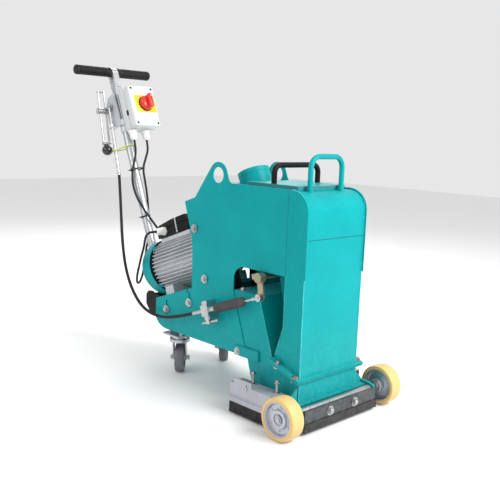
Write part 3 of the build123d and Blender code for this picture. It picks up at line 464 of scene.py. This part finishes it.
def screwTree():
    tree, wires = newTree("hexScrews", {"Washer": 1.0, "Head": 1.0, "Stud": 1.0})
    washer = cylinderNode(tree, 28, wires["Washer"], 0.16, 0.0)
    head = cylinderNode(tree, 6, 1.0, wires["Head"], 0.16)
    crown = cylinderNode(tree, 20, 0.8, wires["Head"] + 0.06, 0.16)
    stud = cylinderNode(tree, 12, 0.45, wires["Stud"], 0.16)
    whole = addNode(tree, "GeometryNodeJoinGeometry")
    for wire in (washer, head, crown, stud):
        tree.links.new(wire.socket, whole.inputs[0])
    aim = add(tree, "FunctionNodeAlignRotationToVector", {"axis": "Z"},
        {"Vector": namedValue(tree, "aim", "FLOAT_VECTOR")})
    placed = add(tree, "GeometryNodeInstanceOnPoints", None, {
        "Points": wires["Geometry"], "Instance": Wire(tree, whole.outputs[0]), "Rotation": aim,
        "Scale": namedValue(tree, "size", "FLOAT")})
    return endTree(tree, placed, "steel")


screws = screwTree()


def hexScrews(name, spots, body="chassis", washer=1.45, head=0.62, stud=0.8, replaces=()):
    spots = [(at(*place), aim, across / 2 / math.cos(math.radians(30)) / 1000)
             for place, aim, across in spots]
    mesh = grow(screws, spotMesh(spots), {"Washer": washer, "Head": head, "Stud": stud}, name)
    return dress(name, mesh, body, "steel", replaces=replaces)


def beadTree():
    tree, wires = newTree("weldBead", {"Spacing": 1.0, "Width": 1.0})
    path = add(tree, "GeometryNodeMeshToCurve", None, {"Mesh": wires["Geometry"]})
    spaced = add(tree, "GeometryNodeResampleCurve", {"mode": "LENGTH"},
        {"Curve": path, "Length": wires["Spacing"]})
    ripple = add(tree, "GeometryNodeMeshIcoSphere", None, {"Radius": wires["Width"], "Subdivisions": 2})
    flat = add(tree, "GeometryNodeTransform", None, {"Geometry": ripple, "Scale": (1.0, 1.0, 0.62)})
    along = add(tree, "GeometryNodeInputTangent")
    turn = add(tree, "FunctionNodeAlignRotationToVector", {"axis": "Z"}, {"Vector": along})
    size = add(tree, "FunctionNodeRandomValue", {"data_type": "FLOAT"}, {2: 0.82, 3: 1.12, "Seed": 5},
        out=1)
    placed = add(tree, "GeometryNodeInstanceOnPoints", None, {
        "Points": spaced, "Instance": flat, "Rotation": turn, "Scale": size})
    return endTree(tree, placed, "teal")


beads = beadTree()


def weldBeads(name, lines, body="chassis", width=2.1, spacing=2.6):
    verts, edges = [], []
    for start, end in lines:
        edges.append((len(verts), len(verts) + 1))
        verts += [tuple(at(*start)), tuple(at(*end))]
    source = bpy.data.meshes.new("beadLines")
    source.from_pydata(verts, edges, [])
    mesh = grow(beads, source, {"Spacing": spacing / 1000, "Width": width / 1000}, name)
    # the beads take the brighter teal, a painted highlight on the weld lines
    return dress(name, mesh, body, "teal", "weldHighlightTeal", smooth=60)


def bristleTree():
    tree, wires = newTree("bristles", {
        "Across": 0.01, "Along": 0.1, "Rows": 5, "Columns": 50, "Length": 0.05, "Seed": 1})
    grid = add(tree, "GeometryNodeMeshGrid", None, {
        "Size X": wires["Across"], "Size Y": wires["Along"],
        "Vertices X": wires["Rows"], "Vertices Y": wires["Columns"]})
    tuft = add(tree, "GeometryNodeMeshCone", None, {
        "Vertices": 5, "Radius Top": 0.0011, "Radius Bottom": 0.0017, "Depth": wires["Length"]})
    wander = add(tree, "FunctionNodeRandomValue", {"data_type": "FLOAT_VECTOR"},
                 {0: (-0.0008, -0.0012, 0.0), 1: (0.0008, 0.0012, 0.0), "Seed": wires["Seed"]})
    loose = add(tree, "GeometryNodeSetPosition", None, {"Geometry": grid, "Offset": wander})
    splay = add(tree, "FunctionNodeRandomValue", {"data_type": "FLOAT_VECTOR"},
                {0: (3.106, -0.035, 0.0), 1: (3.177, 0.035, 6.28), "Seed": wires["Seed"]})
    placed = add(tree, "GeometryNodeInstanceOnPoints", None,
        {"Points": loose, "Instance": tuft, "Rotation": splay})
    return endTree(tree, placed, "bristle")


bristles = bristleTree()


def brush(name, low, high, rows, columns, seed):
    # tufts hang from the top of the box between two corners, in mm
    values = {"Across": (high[0] - low[0] - 3.4) / 1000, "Along": (high[1] - low[1] - 3.4) / 1000,
        "Rows": rows,
              "Columns": columns, "Length": (high[2] - low[2] - 4) / 1000, "Seed": seed}
    mesh = grow(bristles, bpy.data.meshes.new("empty"), values, name)
    mesh.transform(Matrix.Translation(at((low[0] + high[0]) / 2, (low[1] + high[1]) / 2, high[2] - 2)))
    return dress(name, mesh, "chassis", "bristle", smooth=50)


print("tools ready")


# ---- floor ----
def studioFloor():
    bm = bmesh.new()
    bmesh.ops.create_grid(bm, x_segments=8, y_segments=8, size=9)
    mesh = bpy.data.meshes.new("floor")
    bm.to_mesh(mesh)
    bm.free()
    floor = bpy.data.objects.new("floor", mesh)
    bpy.context.collection.objects.link(floor)
    material = bpy.data.materials.new("paleFloor")
    material.use_nodes = True
    shader = material.node_tree.nodes["Principled BSDF"]
    shader.inputs["Base Color"].default_value = (0.86, 0.86, 0.86, 1)
    shader.inputs["Roughness"].default_value = 0.85
    mesh.materials.append(material)


studioFloor()

# ---- cords, along the routes that the CAD tubes take ----


def onMast(x, back, along):
    return (x, 974 + back * cosLean + along * sinLean, 516 - back * sinLean + along * cosLean)


def splineLength(obj):
    line = obj.copy()
    line.data = obj.data.copy()
    line.data.bevel_depth = 0
    bpy.context.collection.objects.link(line)
    shown = line.evaluated_get(bpy.context.evaluated_depsgraph_get())
    mesh = bpy.data.meshes.new_from_object(shown)
    spots = [vert.co for vert in mesh.vertices]
    total = sum((spots[e.vertices[0]] - spots[e.vertices[1]]).length for e in mesh.edges)
    bpy.data.objects.remove(line)
    bpy.data.meshes.remove(mesh)
    return total


def heldCord(name, route, thickness, paint):
    curve = bpy.data.curves.new(name, "CURVE")
    curve.dimensions = "3D"
    spline = curve.splines.new("NURBS")
    spline.points.add(len(route) - 1)
    for point, spot in zip(spline.points, route):
        point.co = (*at(*spot), 1)
    spline.order_u = 3
    spline.use_endpoint_u = True
    spline.resolution_u = 8
    curve.bevel_depth = thickness / 2000
    curve.bevel_resolution = 5
    curve.use_fill_caps = True
    curve.materials.append(paints[paint])
    cord = bpy.data.objects.new(name, curve)
    bpy.context.collection.objects.link(cord)
    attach(cord, "chassis")
    length = splineLength(cord)
    print(name, "length", round(length, 3))
    tuple(at(*route[0]))
    return cord


glandY, glandZ = 773.04, 483.1
rightRoute = [
    onMast(58, -40, 324), onMast(58, -40, 262), onMast(38, -34, 222), onMast(19, -25, 182),
    onMast(23, -15, 128), onMast(26, -3, 70), onMast(25, 11, 14), onMast(20, 22, -42), onMast(7, 29, -92),
    (-8, 955, 392), (-15, 953, 350), (-22, 951, 310), (-36, 944, 278), (-57, 932, 262), (-78, 916, 272),
    (-93, 894, 302), (-104, 866, 344), (-114, 838, 388), (-123, 810, 428), (-134, 790, 456),
    (-137, 777, 474), (-126, glandY + 0.5, glandZ - 0.5), (-108, glandY, glandZ), (-83, glandY, glandZ)]
leftRoute = [
    onMast(-1, -40, 324), onMast(-1, -40, 266), onMast(-9, -30, 222), onMast(-24, -14, 178),
    onMast(-27, 1, 124), onMast(-27, -9, 64), onMast(-17, -25, 12), onMast(3, -31, -34),
    onMast(26, -29, -72), (56, 906, 428), (84, 880, 420), (108, 850, 424), (126, 820, 438),
    (138, 794, 460), (138, 778, 476), (126, glandY + 0.5, glandZ - 0.5), (108, glandY, glandZ),
    (83, glandY, glandZ)]
jacketRoute = [
    (-38, 1099, 662), (-54, 1066, 586), (-78, 1022, 494), (-100, 979, 404), (-122, 925, 325),
    (-142, 852, 258), (-156, 765, 212), (-163, 668, 203), (-165, 575, 220), (-165, 473.74, 255.03)]
rightLead = heldCord("rightMotorLead", rightRoute, 8.4, "black_rubber")
leftLead = heldCord("leftMotorLead", leftRoute, 8.4, "black_rubber")
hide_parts("motor_leads")
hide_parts("motor_leads")
jacket = heldCord("cableJacket", jacketRoute, 11, "black_rubber")
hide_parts("push_pull_cable")
print("cords laid")

# ---- front wheels ----
frontWheel = {"inner": 205.7, "outer": 253.7, "tread": 62.5, "rim": 50.5, "bore": 10.05,
              "screwFace": 238.9, "screwRing": 36}


def frontWheels(s):
    a, b, r, q = s["inner"], s["outer"], s["tread"], s["rim"]
    tyre = [
        (q, a + 0.6), (q + 6, a + 0.1), (r - 2.4, a + 1.2), (r - 0.6, a + 3.6), (r - 0.1, a + 8),
        (r, a + 18), (r, a + 23.6), (r - 0.35, a + 24), (r, a + 24.4), (r, a + 30), (r - 0.1, b - 8),
        (r - 0.6, b - 3.6), (r - 2.4, b - 1.2), (q + 6, b - 0.1), (q, b - 0.6)]
    hub = [
        (s["bore"], 198), (20, 198), (21, 199.2), (21, 221), (24, 222.5), (42, 222.5), (46, 219),
        (48, a + 1.6), (q - 0.1, a + 1.6), (q - 0.1, b - 2), (48.6, b - 1.4), (46.4, b - 2.4),
        (44, 243.5), (42, 240.2), (29.5, 238.6), (28, 239.6), (26.6, 246.4), (25, 248), (18.6, 248),
        (17.4, 246.8), (17, 243.6), (s["bore"], 243.4)]
    cap = [(0, 253.3), (6.4, 253.2), (8, 252.2), (8.6, 249.4), (12, 249), (12.4, 248.2), (12.4, 247.2),
        (0, 247.2)]
    for name, side in (("left", 1), ("right", -1)):
        place = axisFrame(0, 0, r, (side, 0, 0))
        meshPiece(f"{name}Tyre", lathe(tyre, 96, ring=True), place, f"front_wheel_{name}", "polyurethane",
                  replaces=[f"tyre_{name}"])
        meshPiece(f"{name}Hub", lathe(hub, 72, ring=True), place, f"front_wheel_{name}", "hub_aluminium",
                  replaces=[f"hub_{name}"])
        meshPiece(f"{name}AxleCap", lathe(cap, 40), place, "chassis", "steel")
        face, ring = side * s["screwFace"], s["screwRing"]
        angles = [math.radians(60 * i) for i in range(6)]
        spots = [((face, ring * math.sin(angle), r + ring * math.cos(angle)), (side, 0, 0), 5.5)
                 for angle in angles]
        hexScrews(f"{name}HubScrews", spots, f"front_wheel_{name}", washer=1.3, head=0.5, stud=0.5)


frontWheels(frontWheel)

# ---- casters ----
caster = {"x": 104, "swivel": 618, "trail": 30, "r": 50, "half": 17, "core": 37}
parked = math.radians(44)  # the way the casters stand


def casters(s):
    r, h, c = s["r"], s["half"], s["core"]
    tread = [
        (c - 3, -h + 0.6), (r - 8, -h + 0.2), (r - 3, -h + 1.2), (r - 1, -h + 4), (r, -h + 9), (r, h - 9),
        (r - 1, h - 4), (r - 3, h - 1.2), (r - 8, h - 0.2), (c - 3, h - 0.6), (c - 3, h - 4.6),
        (c, h - 5), (c, -h + 5), (c - 3, -h + 4.6)]
    core = [
        (6.05, -19), (13, -19), (13.4, -13), (17, -9), (29, -9), (33, -11.5), (c - 0.1, -11.9),
        (c - 0.1, 11.9), (33, 11.5), (29, 9), (17, 9), (13.4, 13), (13, 19), (6.05, 19)]
    for name, side in (("left", 1), ("right", -1)):
        x, y = side * s["x"] + s["trail"] * math.sin(parked), s["swivel"] + s["trail"] * math.cos(parked)
        axle = Vector((math.cos(parked), -math.sin(parked), 0))
        place = axisFrame(x, y, s["r"], axle)
        meshPiece(f"{name}CasterTread", lathe(tread, 64, ring=True), place, f"caster_wheel_{name}",
            "grey_rubber",
                  replaces=[f"caster_tread_{name}"])
        meshPiece(f"{name}CasterHub", lathe(core, 48, ring=True), place, f"caster_wheel_{name}",
            "hub_aluminium",
                  replaces=[f"caster_hub_{name}"])
        nuts = [(tuple(Vector((x, y, s["r"])) + axle * 28 * end), tuple(axle * end), 13) for end in (-1, 1)]
        hexScrews(f"{name}CasterNuts", nuts, f"caster_swivel_{name}", head=0.6, stud=0.7)


casters(caster)
print("running gear done")

# ---- handle grips, lever knob and boot ----
grip = {"up": 590, "inner": 15, "outer": 169, "r": 19, "ribs": 21}


def handleGrips(s):
    profile = [(0, s["outer"]), (13, s["outer"]), (16.5, s["outer"] - 1.6), (18.4, s["outer"] - 5),
        (18.6, s["outer"] - 10)]
    span = s["outer"] - s["inner"] - 28
    for i in range(s["ribs"]):
        top = s["outer"] - 12 - span * i / s["ribs"]
        profile += [(16.6, top), (16.6, top - 1.4), (17.8, top - 2.1), (18.2, top - 3.4), (17.8, top - 4.8)]
    profile += [(17, s["inner"] + 12), (19, s["inner"] + 9), (19, s["inner"] + 2), (17.5, s["inner"]),
        (11.2, s["inner"])]
    bm = bmesh.new()
    for side in (-1, 1):
        lathe(profile, 40, bm=bm,
            place=Matrix.Translation((0, 0, s["up"])) @ Matrix.Rotation(math.radians(90 * side), 4, "Y"))
    meshPiece("handleGrips", bm, mast, "handle", "grip_rubber", replaces=["handle_grips"])


handleGrips(grip)
hexScrews("stemBolts", [(onMast(-13, 0, 556), (-1, 0, 0), 13), (onMast(13, 0, 556), (1, 0, 0), 13),
                        (onMast(-13, 0, 566), (-1, 0, 0), 8)], "handle", head=0.7, stud=1.1)

knob = {"back": 50, "up": 446, "turn": 10.5, "down": 154, "r": 21}


def leverKnob(s):
    profile = [(s["r"] * math.sin(math.radians(a)), -s["r"] * math.cos(math.radians(a))) for a in range(0,
        151, 6)]
    profile[0] = (0, -s["r"])
    profile += [(9.5, s["r"] * 0.93), (0, s["r"] * 0.93)]
    place = mast @ Matrix.Translation((0, s["back"], s["up"])) @ Matrix.Rotation(math.radians(s["turn"]), 4,
        "X")
    place = place @ Matrix.Translation((-52, 0, -s["down"]))
    meshPiece("leverKnob", lathe(profile, 48), place, "control_lever", "black_gloss",
        replaces=["lever_knob"])


leverKnob(knob)

boot = {"low": 61, "high": 200, "folds": 11, "r": 15.4, "waist": 9.6}


def cableBoot(s):
    profile = [(4.4, s["low"]), (11, s["low"]), (12, s["low"] + 0.8), (12, s["low"] + 6)]
    step = (s["high"] - s["low"] - 14) / s["folds"]
    for i in range(s["folds"]):
        base = s["low"] + 7 + i * step
        profile += [(s["waist"], base), (s["r"] - 0.9, base + step * 0.34), (s["r"], base + step * 0.5),
                    (s["r"] - 0.9, base + step * 0.66)]
    profile += [(s["waist"], s["high"] - 7), (10, s["high"] - 6), (10, s["high"] - 0.8), (9, s["high"]),
        (4.4, s["high"])]
    meshPiece("cableBoot", lathe(profile, 40, ring=True), push, "chassis", "black_rubber", "bootGrey",
        replaces=["cable_boot"], smooth=50)


cableBoot(boot)
print("grips, knob and boot done")

# ---- switch box ----
switch = {"x": (-18, 100), "back": (-97, -22), "up": (330, 495), "split": -58, "plate": (93, 68),
    "knobAt": (46, 420)}


def switchBox(s):
    (x0, x1), (b0, b1), (u0, u1) = s["x"], s["back"], s["up"]
    bm = slab((x0, s["split"] + 0.6, u0), (x1, b1, u1), 6)
    slab((x0, b0, u0), (x1, s["split"] - 0.6, u1), 7.5, bm=bm)
    slab((x0 + 2, s["split"] - 3, u0 + 2), (x1 - 2, s["split"] + 3, u1 - 2), 4, bm=bm)
    meshPiece("switchBoxShell", bm, mast, "chassis", "box_grey", replaces=["switch_box"])
    px, pz = s["knobAt"]
    width, height = s["plate"]
    face = mast @ Matrix.Translation((px, b0, pz)) @ Matrix.Rotation(math.radians(90), 4, "X")
    bm = outlinePlate(roundedRectangle(width, height, 5), -0.4, 1.2, 0.4)
    meshPiece("switchPlate", bm, face, "chassis", "box_grey", "yellowPlate")
    bm = lathe([(0, 1.2), (30.6, 1.2), (30.6, 2.6), (29.8, 3.6), (0, 3.6)], 64)
    meshPiece("switchRing", bm, face, "chassis", "black_plastic")
    screwsBm = bmesh.new()
    for sx in (x0 + 12, x1 - 12):
        for sz in (u0 + 12, u1 - 12):
            spot = Matrix.Translation((sx - px, sz - pz, 0))
            lathe([(0, 0.5), (4.2, 0.5), (4.8, 0), (4.8, -1), (0, -1)], 24, bm=screwsBm, place=spot)
            slab((-3.2, -0.45, 0.3), (3.2, 0.45, 0.8), 0, bm=screwsBm, place=spot)
            slab((-0.45, -3.2, 0.3), (0.45, 3.2, 0.8), 0, bm=screwsBm, place=spot)
    meshPiece("switchCoverScrews", screwsBm, face, "chassis", "black_plastic")
    plug = mast @ Matrix.Translation((x0, -60, 395)) @ Matrix.Rotation(math.radians(-90), 4, "Y")
    meshPiece("blankPlug", outlinePlate(roundedRectangle(22, 13, 6.4), -0.5, 1.1, 0.4), plug, "chassis",
        "black_plastic")


def switchKnob(s):
    px, pz = s["knobAt"]
    face = mast @ Matrix.Translation((px, s["back"][0], pz)) @ Matrix.Rotation(math.radians(90), 4, "X")
    bm = lathe([(0, 4.2), (26, 4.2), (27.6, 5), (28, 7), (27.8, 15), (26.8, 20), (24, 23.4), (20, 24.8),
        (0, 25)], 72)
    for i in range(36):
        turn = Matrix.Rotation(math.radians(10 * i), 4, "Z") @ Matrix.Translation((27.4, 0, 11))
        slab((-0.8, -1.1, -4.6), (0.5, 1.1, 4.6), 0.4, bm=bm, place=turn, segments=1)
    slab((-27, -8, 22), (27, 8, 46), 4.6, bm=bm, place=Matrix.Rotation(math.radians(90), 4, "Z"))
    meshPiece("switchKnob", bm, face, "switch_knob", "red_plastic", replaces=["switch_knob"])
    pointer = slab((-1.1, 12, 45.7), (1.1, 22, 46.3), 0.2)
    meshPiece("knobPointer", pointer, face, "switch_knob", "white_plastic")


switchBox(switch)
switchKnob(switch)
print("switch box done")


# ---- glands ----
def glandShape(bm, place, nut, dome, long):
    hexagon = [(nut * math.cos(math.radians(60 * i)),
        nut * math.sin(math.radians(60 * i))) for i in range(6)]
    outlinePlate(hexagon, 0, 9, 1.0, bm=bm, place=place)
    profile = [(4.3, 8), (dome, 8), (dome, 12), (dome - 0.6, 12.6), (dome - 0.6, 14)]
    profile += [(dome - 0.8, 15), (dome - 0.4, long * 0.66), (dome - 2.6, long * 0.86), (dome - 6.4, long),
        (4.3, long)]
    lathe(profile, 36, ring=True, bm=bm, place=place)


def glands():
    bm = bmesh.new()
    for x in (-1, 58):
        glandShape(bm, mast @ Matrix.Translation((x, -40, 330)) @ Matrix.Rotation(math.pi, 4, "X"), 18.5,
            14.5, 38)
    for side in (-1, 1):
        out = frameOf((side * 60, glandY, glandZ), (0, 1, 0), (side, 0, 0))
        glandShape(bm, out, 16.5, 13.4, 38)
    meshPiece("cableGlands", bm, Matrix.Identity(4), "chassis", "white_plastic", replaces=["cable_glands"])


glands()

# ---- terminal box, cowl and plain plates of the motor ----
terminal = {"half": 60, "from": 300, "to": 480, "low": 98.2, "high": 153}


def terminalBox(s):
    lid, body = 126, s["half"]
    low, high = motorUp + s["low"], motorUp + s["high"]
    split = motorUp + lid
    bm = bmesh.new()
    side = [(-s["from"], low), (-s["from"], split - 0.7), (-s["to"] + 4, split - 0.7),
        (-s["to"], split - 6), (-s["to"], low)]
    cover = [
        (-s["from"] + 1, split + 0.7), (-s["from"] - 1, high - 5), (-s["from"] - 8, high), (-384, high),
        (-466, high - 7), (-474, high - 12), (-477, split + 0.7)]
    sideways = Matrix(((0, 0, 1, 0), (0, 1, 0, 0), (1, 0, 0, 0), (0, 0, 0, 1)))
    outlinePlate(side, -body, body, 2.6, bm=bm, place=sideways)
    outlinePlate(cover, -body, body, 3.4, bm=bm, place=sideways)
    slab((-body + 3, split - 2, -s["to"] + 8), (body - 3, split + 2, -s["from"] - 3), 0, bm=bm)
    meshPiece("terminalBox", bm, drive, "chassis", "black_paint", replaces=["terminal_box"])
    strap = slab((-body - 0.6, low + 1, -368), (body + 0.6, high + 0.5, -361), 0.6)
    meshPiece("terminalStrap", strap, drive, "chassis", "galvanised")
    spots = []
    for x in (-body + 9, body - 9):
        place = drive @ Vector((x, high - 0.5, -s["from"] - 14)) * 1000 + Vector((0, midLength, 0))
        spots.append((tuple(place), (0, sinTilt, cosTilt), 7))
    hexScrews("terminalScrews", spots, washer=1.3, head=0.5, stud=0.5)


terminalBox(terminal)

cowl = {"r": 101, "front": 509, "back": 574}


def fanCowl(s):
    r, f, b = s["r"], -s["front"], -s["back"]
    profile = [
        (r, f), (r, f - 8), (r - 0.4, f - 9), (r - 0.4, -546), (r - 1.6, -554), (r - 4.4, -562),
        (r - 9, -568.4), (r - 15, b + 1.8), (r - 24, b + 0.2), (64, b + 0.2), (63, b + 1.4), (0, b + 1.4),
        (0, b + 3.4), (63, b + 3.4), (r - 26, b + 2.8), (r - 16, b + 5), (r - 7.4, -560), (r - 3, -545),
        (r - 2.5, f)]
    meshPiece("fanCowl", lathe(profile, 96, ring=True), drive @ Matrix.Translation((0, motorUp, 0)),
        "chassis", "teal",
              replaces=["fan_cowl"])
    # dark slabs in the vent holes of the cowl end: painted shade inside the holes
    vents = bmesh.new()
    for radius, count in ((16, 6), (28, 12), (40, 16), (52, 22)):
        for i in range(count):
            turn = Matrix.Rotation(2 * math.pi * i / count, 4,
                "Z") @ Matrix.Translation((radius, 0, b + 1.3))
            slab((-4.4, -2.4, -0.25), (4.4, 2.4, 0.3), 0.0, bm=vents, place=turn)
    meshPiece("cowlVentShade", vents, drive @ Matrix.Translation((0, motorUp, 0)), "chassis", "black_plastic",
        "ventShadeBlack")
    straps = bmesh.new()
    for i in range(4):
        turn = Matrix.Rotation(math.radians(45 + 90 * i), 4, "Z") @ Matrix.Translation((r - 4.6, 0, f + 3))
        slab((-2.4, -7, -8), (2.4, 7, 9), 0.8, bm=straps, place=turn)
    meshPiece("cowlFeet", straps, drive @ Matrix.Translation((0, motorUp, 0)), "chassis", "teal")
    shade = lathe([(70, -501), (94, -501), (94, -509), (70, -509)], 64, ring=True)
    meshPiece("fanGapShade", shade, drive @ Matrix.Translation((0, motorUp, 0)), "chassis", "black_plastic",
        "ventShadeBlack")


fanCowl(cowl)


def motorDetails():
    bm = bmesh.new()
    for i in range(4):
        turn = Matrix.Rotation(math.radians(45 + 90 * i), 4, "Z")
        for back in (184, 507):
            slab((78, -9, -back - 6), (96, 9, -back + 5), 2.4, bm=bm,
                place=Matrix.Translation((0, motorUp, 0)) @ turn)
    meshPiece("shieldLugs", bm, drive, "chassis", "silver")
    turn = Matrix.Translation((0, motorUp, -250)) @ Matrix.Rotation(math.radians(104), 4,
        "Z") @ Matrix.Translation((98.2, 0, 0))
    plate = slab((-0.6, -22, -38), (0.7, 22, 38), 0.3, place=turn)
    meshPiece("blankRatingPlate", plate, drive, "chassis", "galvanised")


motorDetails()
print("motor done")

# ---- screws of the casing ----
flangeAxis = (0, -sinTilt, cosTilt)
slope = sinTilt / cosTilt


def flangeSpot(x, y, lift):
    return (x, y - lift * sinTilt, 137 + (y - 14) * slope + lift * cosTilt)


def casingScrews():
    spots = []
    for side in (-1, 1):
        for y, z in ((513.6, 528.2), (456.7, 369.3), (533.9, 275.9), (655.2, 228.7)):
            spots.append(((side * 136.4, y, z), (side, 0, 0), 17))
        for y in (38.8, 110.6):
            spots.append((flangeSpot(side * 143, y, 6), flangeAxis, 14))
            spots.append((flangeSpot(side * 143, y, -6), (0, sinTilt, -cosTilt), 14))
        spots.append(((side * 139, 287.8, 169.2), (side, 0, 0), 14))
        for y in (226, 300):
            spots.append(((side * 112, y, 358), (0, 0, 1), 16))
        for y in (87, 187):
            spots.append(((side * 165, y, 128), (0, 0, 1), 13))
            spots.append(((side * 165, y, 97), (0, 0, 1), 13))
        spots.append(((side * 205, 173, 91), (side, 0, 0), 7))
    for x in (-54, 60):
        spots.append(((x, -26, 50), (0, -1, 0), 17))
    hexScrews("casingScrews", spots, replaces=["fasteners"])
    bm = bmesh.new()
    for side in (-1, 1):
        for y, z in ((513.6, 528.2), (456.7, 369.3), (533.9, 275.9), (655.2, 228.7)):
            out = Matrix.Translation((side * 134, y, z)) @ Matrix.Rotation(math.radians(90 * side), 4, "Y")
            lathe([(0, 0.02), (13.5, 0.02), (13.5, 2), (13, 2.5), (0, 2.5)], 40, bm=bm, place=out)
    meshPiece("slotWashers", bm, plain, "chassis", "steel")
    bm = bmesh.new()
    for side in (-1, 1):
        for y in (87, 187):
            coil = [(0, 97)] + [(3.7 + 0.3 * (k % 2), 97 + k * 0.9) for k in range(36)] + [(0, 130)]
            lathe(coil, 20, bm=bm, place=Matrix.Translation((side * 165, y, 0)))
    meshPiece("sealStuds", bm, plain, "chassis", "steel")


casingScrews()

# ---- welds and seams ----
def joints():
    lines = []
    for side in (-1, 1):
        lines.append(((side * 131, 31.6, 150), (side * 131, 31.6, 547)))
        lines.append(((side * 131, 103.6, 280), (side * 131, 103.6, 434)))
        lines.append(((side * 131, 31.6, 80), (side * 131, 31.6, 136)))
        lines.append(((side * 131, 105, 280), (side * 131, 132, 194)))
        lines.append(((side * 152.2, 41, 75), (side * 131.4, 41, 98)))
    bend, top = 59.5, 687.5
    for side in (-1, 1):
        rim = [(side * 131, 31.6 + bend - bend * math.cos(math.radians(a)),
            top - bend + bend * math.sin(math.radians(a)))
               for a in range(0, 91, 10)]
        lines += [((side * 131, 31.6, 549), rim[0])] + list(zip(rim, rim[1:]))
    weldBeads("columnWelds", lines, width=2.0)
    chute = []
    for side in (-1, 1):
        chute.append(((side * 131, 206.3, 352), (side * 131, 146, 186.5)))
        chute.append(((side * 131, 247, 150), (side * 131, 222, 80)))
    weldBeads("chuteWelds", chute, width=2.0)
    seam = slab((-131.2, 31.0, 547.2), (131.2, 33, 548.4), 0.2)
    meshPiece("columnSeam", seam, plain, "chassis", "black_rubber")
    # a thin strip of darker teal on each side plate: painted shade along the bend
    line = bmesh.new()
    for side in (-1, 1):
        slab((side * 134.25 - 0.35, 102.6, 438), (side * 134.25 + 0.35, 103.4, 684), 0, bm=line)
    meshPiece("plateBendShade", line, plain, "chassis", "teal", "scoreShadeTeal")


joints()
print("screws and welds done")


# ---- seals ----
def seals():
    for name, side, seed in (("leftBrush", 1, 3), ("rightBrush", -1, 4)):
        x0, x1 = sorted((side * 199.5, side * 210.5))
        brush(name, (x0, 74, 3), (x1, 242, 41), 5, 62, seed)
    brush("rearBrush", (-192, 247, 4), (192, 258, 60), 92, 5, 7)
    lip = [(-30, 34), (-26, 34), (-26, 12), (-27, 9), (-28.6, 8), (-30, 9.4)]
    sideways = Matrix(((0, 0, 1, 0), (1, 0, 0, 0), (0, 1, 0, 0), (0, 0, 0, 1)))
    bm = outlinePlate(lip, -168, 168, 0.4, place=sideways)
    meshPiece("frontLip", bm, plain, "chassis", "bristle", replaces=["seal_strips"])
    backing = bmesh.new()
    for side in (-1, 1):
        slab((side * 205 - 4.4, 75, 30), (side * 205 + 4.4, 241, 40.8), 0.8, bm=backing)
    slab((-191, 248, 40), (191, 257, 59.5), 0.8, bm=backing)
    meshPiece("brushBacking", backing, plain, "chassis", "bristle")


seals()


# ---- ties ----
def wrapBand(name, place, wrapped, width, thick, paint):
    # a band pulled tight round circles given as (x, y, radius)
    bm = bmesh.new()
    rings = []
    steps = 96
    for i in range(steps):
        angle = 2 * math.pi * i / steps
        out = Vector((math.cos(angle), math.sin(angle)))
        x, y, r = max(wrapped, key=lambda c: c[0] * out.x + c[1] * out.y + c[2])
        rings.append([bm.verts.new((x + (r + t) * out.x, y + (r + t) * out.y, h))
                      for t, h in ((0, -width), (thick, -width * 0.8), (thick, width * 0.8), (0, width))])
    for i in range(steps):
        for k in range(4):
            a, b = rings[i], rings[(i + 1) % steps]
            bm.faces.new((a[k], a[(k + 1) % 4], b[(k + 1) % 4], b[k]))
    x, y, r = wrapped[0]
    slab((x - r - 5, y - 4, -width - 1), (x - r + 0.5, y + 4, width + 1), 1, bm=bm)
    slab((x - r - 15, y + 1, -width * 0.7), (x - r - 4, y + 2.4, width * 0.7), 0.4, bm=bm)
    meshPiece(name, bm, place, "chassis", "black_plastic", paint)


ties = {
    "upperTie": {"height": 184, "round": [(0, 0, 16.3), (20, -24, 4.4), (-23, -14, 4.4)],
        "width": 2.6, "thick": 1.5, "paint": "black_plastic"},
    "lowerTie": {"height": -6, "round": [(0, 0, 16.3), (23.5, 15, 4.4), (-8, -27.5, 4.4)],
        "width": 2.6, "thick": 1.5, "paint": "black_plastic"},
    "sleeveTie": {"height": 280, "round": [(0, 0, 18), (-38, 46.8, 9.5)],
        "width": 2.2, "thick": 1.2, "paint": "limeStrap"},
}
for name, s in ties.items():
    place = mast @ Matrix.Translation((0, 0, s["height"]))
    wrapBand(name, place, s["round"], s["width"], s["thick"], s["paint"])
print("seals and ties done")

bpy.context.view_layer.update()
